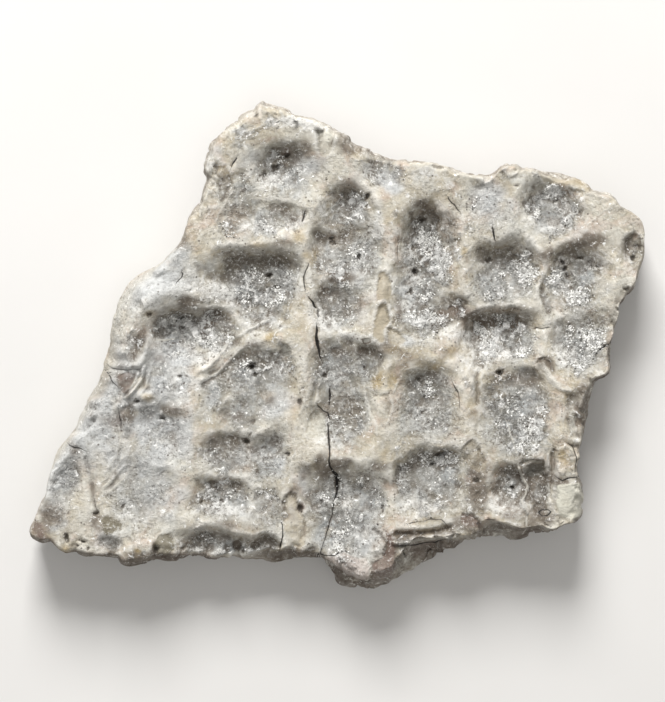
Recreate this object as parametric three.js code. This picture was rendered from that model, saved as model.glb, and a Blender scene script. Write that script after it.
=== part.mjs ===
// Fossil amphibian scute: a broken plate of dermal bone, about 90 mm across, turned to stone.
// It is one solid, lying on its smooth inner face. The outer face is a net of rounded ridges round deep pits.
// The surface is worked out on a four-sided patch: an outer face, a broken edge that runs all the way round it,
// and an inner face that is flat where the plate rests. Millimetres, +Z up, seen from above with +Y away.
import * as THREE from "three";

// ---- Driving dimensions ----
const RIDGE_HEIGHT = 11; // ridge crests over the resting face
const EDGE_HEIGHT = 4.6; // height at which the broken edge stands out furthest
const OUTER_ROUNDING = 1.3; // how far in from the outline the outer face begins
const INNER_ROUNDING = 2.6; // the same for the inner face
const HEEL_LIFT = 1.3; // how far the inner face rises towards the edge
const REST_SHARE = 0.84; // the part of the way out to the edge that is flat
const SEAM = 0.8; // gap, seen from below, between the broken edge's last ring and the inner face's grid
const OUTLINE_SAMPLES = 800;

// Faces: columns and rows of the outer grid, which are even, and the steps down the edge, with one at the outline.
const COLUMNS = 56;
const ROWS = 40;
const EDGE_STEPS = 6;

// ---- Outline: four sides of [x, y], each read left to right or bottom to top ----
const TOP_SIDE = [
  [-10.9, 35.6], [-9.2, 34.9], [-7.4, 34.4], [-6.0, 33.6], [-2.3, 32.7], [0.3, 31.5], [1.9, 30.5], [2.3, 29.6],
  [4.0, 28.8], [6.2, 27.8], [8.5, 27.0], [12.5, 26.6], [16.0, 26.1], [18.5, 25.3], [20.5, 24.9], [22.5, 24.8],
  [23.6, 25.3], [24.4, 26.1], [26.0, 26.4], [27.6, 25.9], [29.0, 25.8], [30.4, 25.3], [33.5, 24.6],
  [36.6, 23.6], [37.6, 22.7], [38.6, 22.1], [39.9, 22.0], [40.9, 21.1], [41.6, 20.2], [43.6, 19.1],
  [44.7, 17.7], [45.2, 14.5],
];
const RIGHT_SIDE = [
  [35.3, -26.3], [35.9, -25.3], [36.1, -23.6], [36.3, -21.6], [35.9, -19.0], [36.0, -16.0], [36.4, -13.0],
  [36.9, -10.0], [37.1, -8.0], [37.7, -6.4], [38.6, -5.3], [39.9, -4.6], [40.4, -3.6], [40.2, -1.4],
  [40.7, 0.5], [41.1, 2.0], [41.5, 3.6], [41.5, 4.9], [42.2, 6.1], [42.8, 7.2], [43.7, 8.1], [44.1, 9.4],
  [44.4, 11.0], [45.0, 12.8], [45.2, 14.5],
];
const BOTTOM_SIDE = [
  [-44.8, -27.7], [-44.4, -28.6], [-43.2, -29.2], [-42.0, -29.2], [-41.0, -30.0], [-39.8, -30.8],
  [-38.0, -30.8], [-36.5, -31.3], [-34.0, -31.4], [-32.0, -31.4], [-31.3, -32.4], [-30.0, -32.8],
  [-28.4, -32.6], [-26.5, -31.9], [-23.5, -31.7], [-21.3, -31.3], [-19.0, -31.7], [-16.0, -31.9],
  [-11.5, -31.8], [-10.3, -32.2], [-9.0, -32.5], [-7.6, -32.1], [-5.0, -31.8], [-2.6, -31.8], [-1.0, -33.0],
  [-0.1, -34.2], [0.8, -35.2], [2.6, -35.7], [5.0, -35.9], [7.4, -35.7], [8.6, -34.9], [10.6, -33.4],
  [13.2, -32.1], [16.5, -30.8], [18.6, -29.5], [21.0, -28.7], [24.0, -28.3], [26.4, -28.5], [28.0, -28.1],
  [29.3, -27.6], [31.0, -27.9], [33.0, -27.0], [35.3, -26.3],
];
const LEFT_SIDE = [
  [-44.8, -27.7], [-44.1, -25.0], [-43.4, -23.2], [-42.8, -22.2], [-42.4, -20.0], [-41.7, -17.6],
  [-40.9, -15.6], [-39.8, -14.3], [-38.6, -12.4], [-37.4, -10.0], [-36.5, -7.9], [-35.3, -6.1],
  [-34.6, -3.9], [-33.9, -1.5], [-33.5, 1.0], [-32.9, 3.6], [-32.2, 6.1], [-30.9, 8.4], [-29.0, 10.2],
  [-26.4, 11.5], [-24.5, 13.2], [-22.8, 15.0], [-22.0, 17.0], [-21.2, 18.8], [-19.9, 20.6], [-19.1, 22.8],
  [-18.7, 24.4], [-19.3, 25.7], [-18.9, 27.4], [-18.1, 29.6], [-16.7, 31.3], [-14.6, 32.9], [-12.6, 34.2],
  [-11.7, 35.1], [-10.9, 35.6],
];

// ---- Pits: [x, y, half width, half height, turn in degrees, depth] ----
const PITS = [
  // left margin
  [-38.6, -18.6, 2.5, 4.1, -16, 1.5],
  // second column, from the top
  [-24.4, 3.2, 4.6, 3.7, 12, 3.2],
  [-24.6, -4.2, 3.9, 4.6, 0, 1.5],
  [-25.8, -13.0, 3.9, 4.4, 8, 2.4],
  [-29.4, -21.8, 5.6, 5.4, -18, 1.7],
  // third column
  [-9.2, 26.8, 6.2, 3.9, -4, 3.0],
  [-11.6, 19.4, 5.6, 3.1, 4, 1.7],
  [-12.8, 10.4, 7.6, 4.7, 6, 3.4],
  [-9.8, 5.6, 5.4, 3.6, 10, 1.9],
  [-18.0, 3.5, 2.9, 2.3, 0, 2.2],
  [-12.6, -4.6, 6.6, 5.3, -4, 2.6],
  [-15.6, -16.3, 3.6, 3.2, 0, 2.2],
  [-9.0, -16.8, 3.2, 3.1, 0, 2.1],
  [-16.8, -22.2, 4.3, 2.9, 0, 2.1],
  [-9.9, -23.2, 2.7, 3.2, 0, 1.1],
  [-17.6, -29.3, 5.2, 2.5, 0, 2.6],
  [-11.0, -29.4, 2.4, 1.7, 0, 2.0],
  // fourth column
  [2.7, 19.2, 4.4, 5.1, -14, 3.0],
  [2.0, 12.2, 4.4, 4.6, 0, 2.3],
  [0.6, 7.2, 4.0, 3.0, 6, 2.1],
  [1.4, -5.8, 4.6, 6.3, 0, 2.3],
  [0.9, -24.6, 5.8, 7.0, 0, 3.0],
  // fifth column
  [13.0, 19.0, 3.2, 4.6, -6, 3.2],
  [12.8, 12.9, 4.3, 5.2, 0, 2.9],
  [12.4, 6.0, 4.6, 4.6, 0, 2.3],
  [15.0, 2.2, 4.2, 2.3, 10, 1.5],
  [13.2, -8.9, 4.9, 5.7, 0, 3.0],
  [13.5, -20.0, 5.2, 4.9, 0, 3.0],
  // sixth column
  [22.1, 21.0, 3.3, 3.7, 0, 1.3],
  [24.4, 11.2, 5.0, 4.8, 0, 3.1],
  [24.4, 1.7, 4.8, 4.2, 0, 3.0],
  [25.8, -10.2, 5.2, 6.8, 2, 2.9],
  [24.9, -21.4, 2.7, 3.6, 0, 2.2],
  [29.7, -21.2, 1.8, 3.6, 0, 2.3],
  // last column, and two small ones at the edge
  [31.4, 20.2, 3.7, 4.1, 24, 2.7],
  [35.3, 10.3, 5.0, 5.3, -6, 3.0],
  [36.4, 1.2, 4.9, 3.8, 14, 1.9],
  [43.4, 13.0, 1.7, 3.2, 14, 1.7],
  [36.2, -8.3, 1.2, 2.0, 0, 1.1],
  [6.2, 25.4, 2.6, 1.9, 14, 1.3],
];
const PIT_SQUARENESS = 2.7; // 2 is an ellipse, and more is a rounder rectangle
const PIT_REACH = 0.93; // where a wall is half way down, as a share of the half sizes
const PIT_JOIN = 3; // how sharply neighbouring pits meet
const WALL_POWER = 3.4; // steepness of a pit's wall
const UPPER_WALL_POWER = 1.2; // what the +Y wall adds to it, and the -Y wall takes away

// ---- Bevels: [x, y, reach, amount], where the broken edge slopes in further ----
const BEVELS = [
  [-36, 2, 14, 3.4],
  [-41.5, -18, 6, 0.8],
  [9, -33.5, 5.5, 4],
  [1, -34.5, 3.5, 1.2],
  [-15, 32, 7, 1.2],
  [1, 31, 5, 1],
  [36, 24, 7, 1.4],
];

// ---- The patch ----
function side(points) {
  const curve = new THREE.SplineCurve(points.map(([x, y]) => new THREE.Vector2(x, y)));
  curve.arcLengthDivisions = OUTLINE_SAMPLES;
  return curve.getSpacedPoints(OUTLINE_SAMPLES);
}
const bottom = side(BOTTOM_SIDE);
const right = side(RIGHT_SIDE);
const top = side(TOP_SIDE);
const left = side(LEFT_SIDE);

function along(points, share) {
  const at = share * OUTLINE_SAMPLES;
  const step = Math.min(Math.floor(at), OUTLINE_SAMPLES - 1);
  return points[step].clone().lerp(points[step + 1], at - step);
}

// Coons patch over the outline: a and b run from -1 to 1.
function patch(a, b) {
  const u = (a + 1) / 2;
  const v = (b + 1) / 2;
  const point = new THREE.Vector2()
    .addScaledVector(along(bottom, u), 1 - v)
    .addScaledVector(along(top, u), v)
    .addScaledVector(along(left, v), 1 - u)
    .addScaledVector(along(right, v), u);
  point.addScaledVector(bottom[0], -(1 - u) * (1 - v));
  point.addScaledVector(bottom[OUTLINE_SAMPLES], -u * (1 - v));
  point.addScaledVector(top[0], -(1 - u) * v);
  return point.addScaledVector(top[OUTLINE_SAMPLES], -u * v);
}
const middle = patch(0, 0);

// The share of the way out that lies a distance in millimetres inside the outline, towards (a, b).
function shareInside(outlinePoint, distance) {
  return 1 - distance / outlinePoint.distanceTo(middle);
}

// How far inside a point of the outline each face begins.
function outerRounding(outlinePoint) {
  let rounding = OUTER_ROUNDING;
  for (const [x, y, reach, amount] of BEVELS) {
    rounding += amount * Math.exp(-((outlinePoint.x - x) ** 2 + (outlinePoint.y - y) ** 2) / reach ** 2);
  }
  return rounding;
}
const innerRounding = () => INNER_ROUNDING + SEAM;

// A point of a face's grid: the patch, drawn in so that its rim lies inside the outline by the rounding.
function facePoint(a, b, rounding) {
  const ring = Math.max(Math.abs(a), Math.abs(b));
  if (ring === 0) return middle.clone();
  const outlinePoint = patch(a / ring, b / ring);
  const drawn = 1 - (1 - shareInside(outlinePoint, rounding(outlinePoint))) * ring ** 3;
  return patch(a * drawn, b * drawn);
}

// ---- Heights ----
function swell(x, y) {
  return 0.45 * Math.sin(0.11 * x + 0.6) * Math.cos(0.13 * y - 0.4) + 0.3 * Math.sin(0.23 * x - 0.19 * y + 2);
}

// Pits are bowls with a flat floor, joined where they meet; the lines between them wander a little.
function pitDepth(x, y) {
  const wanderX = x + 0.4 * Math.sin(0.6 * y + 0.3 * x);
  const wanderY = y + 0.4 * Math.sin(0.6 * x - 0.3 * y + 1);
  let total = 0;
  for (const [cx, cy, halfWidth, halfHeight, turn, depth] of PITS) {
    const angle = THREE.MathUtils.degToRad(turn);
    const dx = wanderX - cx;
    const dy = wanderY - cy;
    const px = (Math.cos(angle) * dx + Math.sin(angle) * dy) / halfWidth;
    const py = (Math.cos(angle) * dy - Math.sin(angle) * dx) / halfHeight;
    const out = (Math.abs(px) ** PIT_SQUARENESS + Math.abs(py) ** PIT_SQUARENESS) ** (1 / PIT_SQUARENESS);
    const power = WALL_POWER + (UPPER_WALL_POWER * py) / (out + 0.2);
    total += (depth * Math.exp(-((out / PIT_REACH) ** power))) ** PIT_JOIN;
  }
  return total ** (1 / PIT_JOIN);
}

const outerHeight = (x, y) => RIDGE_HEIGHT + swell(x, y) - pitDepth(x, y);

function innerHeight(a, b) {
  const ring = Math.max(Math.abs(a), Math.abs(b));
  return HEEL_LIFT * THREE.MathUtils.smoothstep(ring, REST_SHARE, 1);
}

// A point on the broken edge: two quarter ellipses, from the outer face's rim out to the outline and back under.
function edgePoint(a, b, share) {
  const angle = share * Math.PI;
  const upper = share <= 0.5;
  const outlinePoint = patch(a, b);
  const rounding = upper ? outerRounding(outlinePoint) : INNER_ROUNDING;
  const inward = shareInside(outlinePoint, rounding * (1 - Math.sin(angle)));
  const point = patch(a * inward, b * inward);
  const rim = facePoint(a, b, outerRounding);
  const end = upper ? outerHeight(rim.x, rim.y) : HEEL_LIFT;
  return [point.x, point.y, EDGE_HEIGHT + (end - EDGE_HEIGHT) * Math.abs(Math.cos(angle))];
}

// ---- The closed mesh ----
const positions = [];
const triangles = [];

function addVertex(x, y, z) {
  positions.push(x, y, z);
  return positions.length / 3 - 1;
}

// A grid of vertices over the patch: grid[row][column].
function addGrid(columns, rows, rounding, heightAt) {
  const grid = [];
  for (let row = 0; row <= rows; row++) {
    const line = [];
    for (let column = 0; column <= columns; column++) {
      const a = (2 * column) / columns - 1;
      const b = (2 * row) / rows - 1;
      const point = facePoint(a, b, rounding);
      line.push(addVertex(point.x, point.y, heightAt(point, a, b)));
    }
    grid.push(line);
  }
  return grid;
}

// Two triangles to a cell, split along the diagonal that climbs less.
function fillGrid(grid, faceUp) {
  const climb = (from, to) => Math.abs(positions[3 * from + 2] - positions[3 * to + 2]);
  for (let row = 0; row < grid.length - 1; row++) {
    for (let column = 0; column < grid[0].length - 1; column++) {
      const corners = [
        grid[row][column],
        grid[row][column + 1],
        grid[row + 1][column + 1],
        grid[row + 1][column],
      ];
      if (climb(corners[1], corners[3]) < climb(corners[0], corners[2])) corners.push(corners.shift());
      const [p, q, r, s] = corners;
      if (faceUp) triangles.push(p, q, r, p, r, s);
      else triangles.push(p, r, q, p, s, r);
    }
  }
}

// [column, row] all the way round a grid, anticlockwise from above.
function roundTheRim(columns, rows) {
  const rim = [];
  for (let column = 0; column < columns; column++) rim.push([column, 0]);
  for (let row = 0; row < rows; row++) rim.push([columns, row]);
  for (let column = columns; column > 0; column--) rim.push([column, rows]);
  for (let row = rows; row > 0; row--) rim.push([0, row]);
  return rim;
}

function addEdge(outerGrid) {
  const rim = roundTheRim(COLUMNS, ROWS);
  let ring = rim.map(([column, row]) => outerGrid[row][column]);
  for (let step = 1; step <= EDGE_STEPS; step++) {
    const next = rim.map(([column, row]) =>
      addVertex(...edgePoint((2 * column) / COLUMNS - 1, (2 * row) / ROWS - 1, step / EDGE_STEPS)),
    );
    ring.forEach((upper, k) => {
      const after = (k + 1) % ring.length;
      triangles.push(upper, next[k], next[after], upper, next[after], ring[after]);
    });
    ring = next;
  }
  return ring;
}

// Joins the edge's last ring to the inner grid, which has half as many steps and lies just inside it.
function joinToInner(ring, innerGrid) {
  const rim = roundTheRim(COLUMNS / 2, ROWS / 2).map(([column, row]) => innerGrid[row][column]);
  rim.forEach((inner, k) => {
    const innerAfter = rim[(k + 1) % rim.length];
    const [first, second, third] = [2 * k, 2 * k + 1, (2 * k + 2) % ring.length].map((n) => ring[n]);
    triangles.push(first, inner, second, second, inner, innerAfter, second, innerAfter, third);
  });
}

const outerGrid = addGrid(COLUMNS, ROWS, outerRounding, (point) => outerHeight(point.x, point.y));
fillGrid(outerGrid, true);
const lastRing = addEdge(outerGrid);
const innerGrid = addGrid(COLUMNS / 2, ROWS / 2, innerRounding, (point, a, b) => innerHeight(a, b));
fillGrid(innerGrid, false);
joinToInner(lastRing, innerGrid);

const plate = new THREE.BufferGeometry();
plate.setAttribute("position", new THREE.Float32BufferAttribute(positions, 3));
plate.setIndex(triangles);
plate.computeBoundingBox();
const boxCentre = plate.boundingBox.getCenter(new THREE.Vector3());
plate.translate(-boxCentre.x, -boxCentre.y, -plate.boundingBox.min.z); // origin: centre of the resting side
plate.computeVertexNormals();

const stone = new THREE.MeshStandardMaterial({ color: 0xb8b3a8, roughness: 0.75, metalness: 0 });
const scute = new THREE.Mesh(plate, stone);
scute.name = "scute";

const part = new THREE.Group();
part.add(scute);

export default part;
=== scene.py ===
"""A broken plate of fossil dermal bone from a large amphibian, lying on its smooth inner face.

The plate is one closed surface in three parts, all worked out on a four-sided patch: the pitted outer face,
the broken edge that runs round it, and the inner face. Tiny crystals sit in the pits. Lengths are in
millimetres in the plate's own frame, +Z up. The last steps shift the plate to the middle of the frame's box
and turn its lengths to metres.
"""

import math

import bpy
import numpy as np
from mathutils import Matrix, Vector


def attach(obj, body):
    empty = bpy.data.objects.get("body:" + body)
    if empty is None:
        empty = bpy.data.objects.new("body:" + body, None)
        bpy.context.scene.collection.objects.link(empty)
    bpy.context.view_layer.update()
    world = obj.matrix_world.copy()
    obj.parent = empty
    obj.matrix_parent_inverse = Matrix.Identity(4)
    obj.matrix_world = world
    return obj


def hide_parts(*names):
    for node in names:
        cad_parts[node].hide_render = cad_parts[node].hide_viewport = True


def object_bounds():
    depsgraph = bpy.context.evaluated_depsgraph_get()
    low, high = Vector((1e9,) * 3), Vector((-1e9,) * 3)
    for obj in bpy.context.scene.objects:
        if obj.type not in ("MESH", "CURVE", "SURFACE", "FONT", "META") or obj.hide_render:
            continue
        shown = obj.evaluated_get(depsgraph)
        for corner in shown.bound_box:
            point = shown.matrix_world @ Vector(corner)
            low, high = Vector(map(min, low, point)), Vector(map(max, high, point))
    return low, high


MM = 0.001

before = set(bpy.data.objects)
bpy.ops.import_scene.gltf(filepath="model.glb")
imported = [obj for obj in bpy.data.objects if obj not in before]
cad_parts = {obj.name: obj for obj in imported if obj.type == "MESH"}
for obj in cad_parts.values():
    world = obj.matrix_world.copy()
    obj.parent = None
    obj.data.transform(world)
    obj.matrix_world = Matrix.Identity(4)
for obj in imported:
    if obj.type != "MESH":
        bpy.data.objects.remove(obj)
cad_low, cad_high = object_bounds()
CAD_LOW = np.array(cad_low) / MM
CAD_HIGH = np.array(cad_high) / MM

# ---- Driving sizes ----
RIDGE_HEIGHT = 11.0  # ridge crests over the resting face, before they are brought to the frame's height
EDGE_HEIGHT = 4.6  # height at which the broken edge stands out furthest
OUTER_ROUNDING = 0.9  # how far in from the outline the outer face begins
INNER_ROUNDING = 2.6  # how far in from the outline the edge ends below
JOIN_WIDTH = 0.8  # from there to the inner face's grid, bridged by fans of triangles
HEEL_LIFT = 1.3  # how far the inner face rises towards the edge
REST_SHARE = 0.84  # the part of the way out to the edge that is flat

OUTER_COLUMNS, OUTER_ROWS = 312, 222  # cells of the outer face
INNER_STEP = 3  # one cell of the inner face to this many of the outer face
EDGE_STEPS = 18  # rings of vertices on the broken edge

# ---- Outline: four sides of (x, y), each read left to right or bottom to top ----
TOP_SIDE = [
    (-10.9, 35.6), (-9.2, 34.9), (-7.4, 34.4), (-6.0, 33.6), (-2.3, 32.7), (0.3, 31.5), (1.9, 30.5),
    (2.3, 29.6), (4.0, 28.8), (6.2, 27.8), (8.5, 27.0), (12.5, 26.6), (16.0, 26.1), (18.5, 25.3),
    (20.5, 24.9), (22.5, 24.8), (23.6, 25.3), (24.4, 26.1), (26.0, 26.4), (27.6, 25.9), (29.0, 25.8),
    (30.4, 25.3), (33.5, 24.6), (36.6, 23.6), (37.6, 22.7), (38.6, 22.1), (39.9, 22.0), (40.9, 21.1),
    (41.6, 20.2), (43.6, 19.1), (44.7, 17.7), (45.2, 14.5),
]
RIGHT_SIDE = [
    (35.3, -26.3), (35.9, -25.3), (36.1, -23.6), (36.3, -21.6), (35.9, -19.0), (36.0, -16.0),
    (36.4, -13.0), (36.9, -10.0), (37.1, -8.0), (37.7, -6.4), (38.6, -5.3), (39.9, -4.6), (40.4, -3.6),
    (40.2, -1.4), (40.7, 0.5), (41.1, 2.0), (41.5, 3.6), (41.5, 4.9), (42.2, 6.1), (42.8, 7.2),
    (43.7, 8.1), (44.1, 9.4), (44.4, 11.0), (45.0, 12.8), (45.2, 14.5),
]
BOTTOM_SIDE = [
    (-44.8, -27.7), (-44.4, -28.6), (-43.2, -29.2), (-42.0, -29.2), (-41.0, -30.0), (-39.8, -30.8),
    (-38.0, -30.8), (-36.5, -31.3), (-34.0, -31.4), (-32.0, -31.4), (-31.3, -32.4), (-30.0, -32.8),
    (-28.4, -32.6), (-26.5, -31.9), (-23.5, -31.7), (-21.3, -31.3), (-19.0, -31.7), (-16.0, -31.9),
    (-11.5, -31.8), (-10.3, -32.2), (-9.0, -32.5), (-7.6, -32.1), (-5.0, -31.8), (-2.6, -31.8),
    (-1.0, -33.0), (-0.1, -34.2), (0.8, -35.2), (2.6, -35.7), (5.0, -35.9), (7.4, -35.7), (8.6, -34.9),
    (10.6, -33.4), (13.2, -32.1), (16.5, -30.8), (18.6, -29.5), (21.0, -28.7), (24.0, -28.3),
    (26.4, -28.5), (28.0, -28.1), (29.3, -27.6), (31.0, -27.9), (33.0, -27.0), (35.3, -26.3),
]
LEFT_SIDE = [
    (-44.8, -27.7), (-44.1, -25.0), (-43.4, -23.2), (-42.8, -22.2), (-42.4, -20.0), (-41.7, -17.6),
    (-40.9, -15.6), (-39.8, -14.3), (-38.6, -12.4), (-37.4, -10.0), (-36.5, -7.9), (-35.3, -6.1),
    (-34.6, -3.9), (-33.9, -1.5), (-33.5, 1.0), (-32.9, 3.6), (-32.2, 6.1), (-30.9, 8.4), (-29.0, 10.2),
    (-26.4, 11.5), (-24.5, 13.2), (-22.8, 15.0), (-22.0, 17.0), (-21.2, 18.8), (-19.9, 20.6),
    (-19.1, 22.8), (-18.7, 24.4), (-19.3, 25.7), (-18.9, 27.4), (-18.1, 29.6), (-16.7, 31.3),
    (-14.6, 32.9), (-12.6, 34.2), (-11.7, 35.1), (-10.9, 35.6),
]

# ---- Pits: x, y, half width, half height, turn in degrees, depth, share of the floor that is crystals ----
PITS = [
    # left margin
    (-39.3, -20.4, 1.9, 3.4, -20, 0.6, 0.5),
    (-30.6, -0.2, 1.8, 2.2, -20, 0.6, 0.0),
    (-33.0, -29.5, 2.2, 1.1, 0, 0.7, 0.3),
    # second column, from the top
    (-23.3, 1.6, 3.9, 3.2, 8, 2.7, 0.9),
    (-17.6, 2.4, 3.4, 2.8, -15, 2.4, 0.8),
    (-19.8, -1.8, 1.8, 1.8, 0, 0.9, 0.0),
    (-24.4, -4.4, 3.7, 4.6, 0, 1.2, 0.05),
    (-25.8, -12.6, 3.8, 3.6, 8, 1.3, 0.1),
    (-28.6, -22.4, 5.0, 4.6, -18, 0.9, 0.1),
    # third column
    (-7.7, 25.4, 4.0, 3.2, 6, 2.0, 0.8),
    (-14.0, 21.8, 3.0, 3.0, 20, 0.7, 0.4),
    (-8.4, 18.7, 3.2, 2.0, 0, 1.2, 0.3),
    (-13.4, 18.0, 4.2, 2.8, 6, 0.9, 0.5),
    (-12.1, 8.6, 6.2, 4.1, 5, 2.9, 0.6),
    (-10.6, 5.4, 4.3, 3.0, 22, 2.2, 0.6),
    (-13.6, -10.4, 3.4, 2.3, 0, 1.1, 0.12),
    (-11.4, -4.9, 5.2, 4.3, -4, 1.9, 0.5),
    (-17.0, -6.6, 2.5, 3.6, -25, 1.1, 0.5),
    (-15.4, -16.2, 3.8, 3.4, 0, 1.6, 0.12),
    (-9.8, -16.5, 3.4, 3.4, 0, 1.4, 0.15),
    (-16.8, -22.6, 4.2, 2.8, 0, 1.6, 0.3),
    (-9.9, -24.0, 2.7, 3.0, 0, 0.9, 0.5),
    (-17.6, -29.8, 5.2, 2.4, 0, 2.0, 0.3),
    (-11.0, -29.6, 2.4, 1.7, 0, 1.8, 0.2),
    # fourth column
    (1.8, 18.4, 3.6, 3.8, -16, 2.1, 0.6),
    (-1.5, 12.9, 2.4, 2.7, 0, 1.6, 0.5),
    (2.8, 12.2, 3.6, 4.0, 0, 2.0, 0.8),
    (0.4, 5.6, 3.5, 3.5, 6, 2.1, 0.3),
    (4.8, -3.6, 2.2, 3.0, 0, 1.5, 0.2),
    (0.2, -5.4, 4.0, 5.0, 0, 1.9, 0.2),
    (0.6, -11.2, 3.9, 3.4, 0, 1.7, 0.2),
    (1.4, -24.9, 6.2, 6.7, 0, 2.8, 0.6),
    # fifth column
    (13.5, 17.7, 1.7, 3.0, 0, 2.0, 0.6),
    (12.9, 14.9, 2.5, 4.4, 0, 2.4, 0.9),
    (12.8, 11.6, 4.1, 6.0, 0, 2.2, 1.0),
    (16.8, 16.4, 1.4, 3.0, 0, 0.8, 0.3),
    (12.0, 6.8, 4.1, 5.2, 0, 1.9, 0.9),
    (16.8, 4.8, 2.8, 2.0, 10, 1.3, 0.9),
    (13.4, -8.7, 4.6, 5.0, 0, 2.6, 0.8),
    (14.5, -20.5, 4.6, 4.5, 0, 2.6, 0.7),
    (10.2, -20.9, 2.4, 3.5, 0, 1.7, 0.5),
    # sixth column
    (21.6, 20.2, 3.0, 3.4, 0, 0.6, 0.5),
    (24.8, 10.4, 4.5, 4.3, 0, 2.8, 0.7),
    (25.0, 0.9, 4.9, 3.8, 0, 3.4, 1.0),
    (20.8, 0.2, 1.5, 2.0, 0, 1.5, 0.6),
    (26.2, -9.9, 5.2, 6.3, 2, 2.5, 0.7),
    (25.2, -21.4, 2.4, 3.2, 0, 2.2, 0.1),
    (29.0, -20.6, 1.9, 2.7, 0, 2.0, 0.1),
    (29.6, -23.4, 1.2, 2.6, 0, 1.3, 0.3),
    # last column, and small ones at the edge
    (31.8, 19.4, 3.4, 3.9, 24, 2.2, 1.0),
    (35.0, 9.0, 4.0, 4.4, -6, 2.2, 0.7),
    (31.0, 6.0, 0.9, 3.0, 8, 0.9, 0.2),
    (36.2, 0.4, 4.6, 3.5, 14, 1.7, 0.5),
    (43.4, 13.4, 1.4, 2.4, 14, 0.8, 0.2),
    (35.2, -8.6, 1.1, 1.5, 0, 0.6, 0.0),
    (35.0, -11.4, 0.9, 1.5, 0, 0.4, 0.2),
    (7.3, 25.0, 3.0, 2.2, 14, 1.4, 0.7),
]
PIT_SQUARENESS = 2.3  # 2 is an ellipse, and more is a rounder rectangle
PIT_LEAN = 0.35  # how much deeper a pit is towards +Y
LOWER_STRETCH = 0.82  # less than 1 makes the -Y half of a pit longer, with a gentle wall
PIT_REACH = 1.08  # where a wall is half way down, as a share of the half sizes
DISH_REACH = 1.45  # the same for the wide, shallow dish that rounds the ridges
DISH_SHARE = 0.36  # the dish's depth as a share of the pit's
PIT_DEPTH = 1.2  # all depths are multiplied by it
PIT_JOIN = 3.0  # how sharply neighbouring pits meet
WALL_POWER = 3.5  # steepness of a pit's wall
UPPER_WALL_POWER = 1.4  # what the +Y wall adds to it, and the -Y wall takes away

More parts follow.
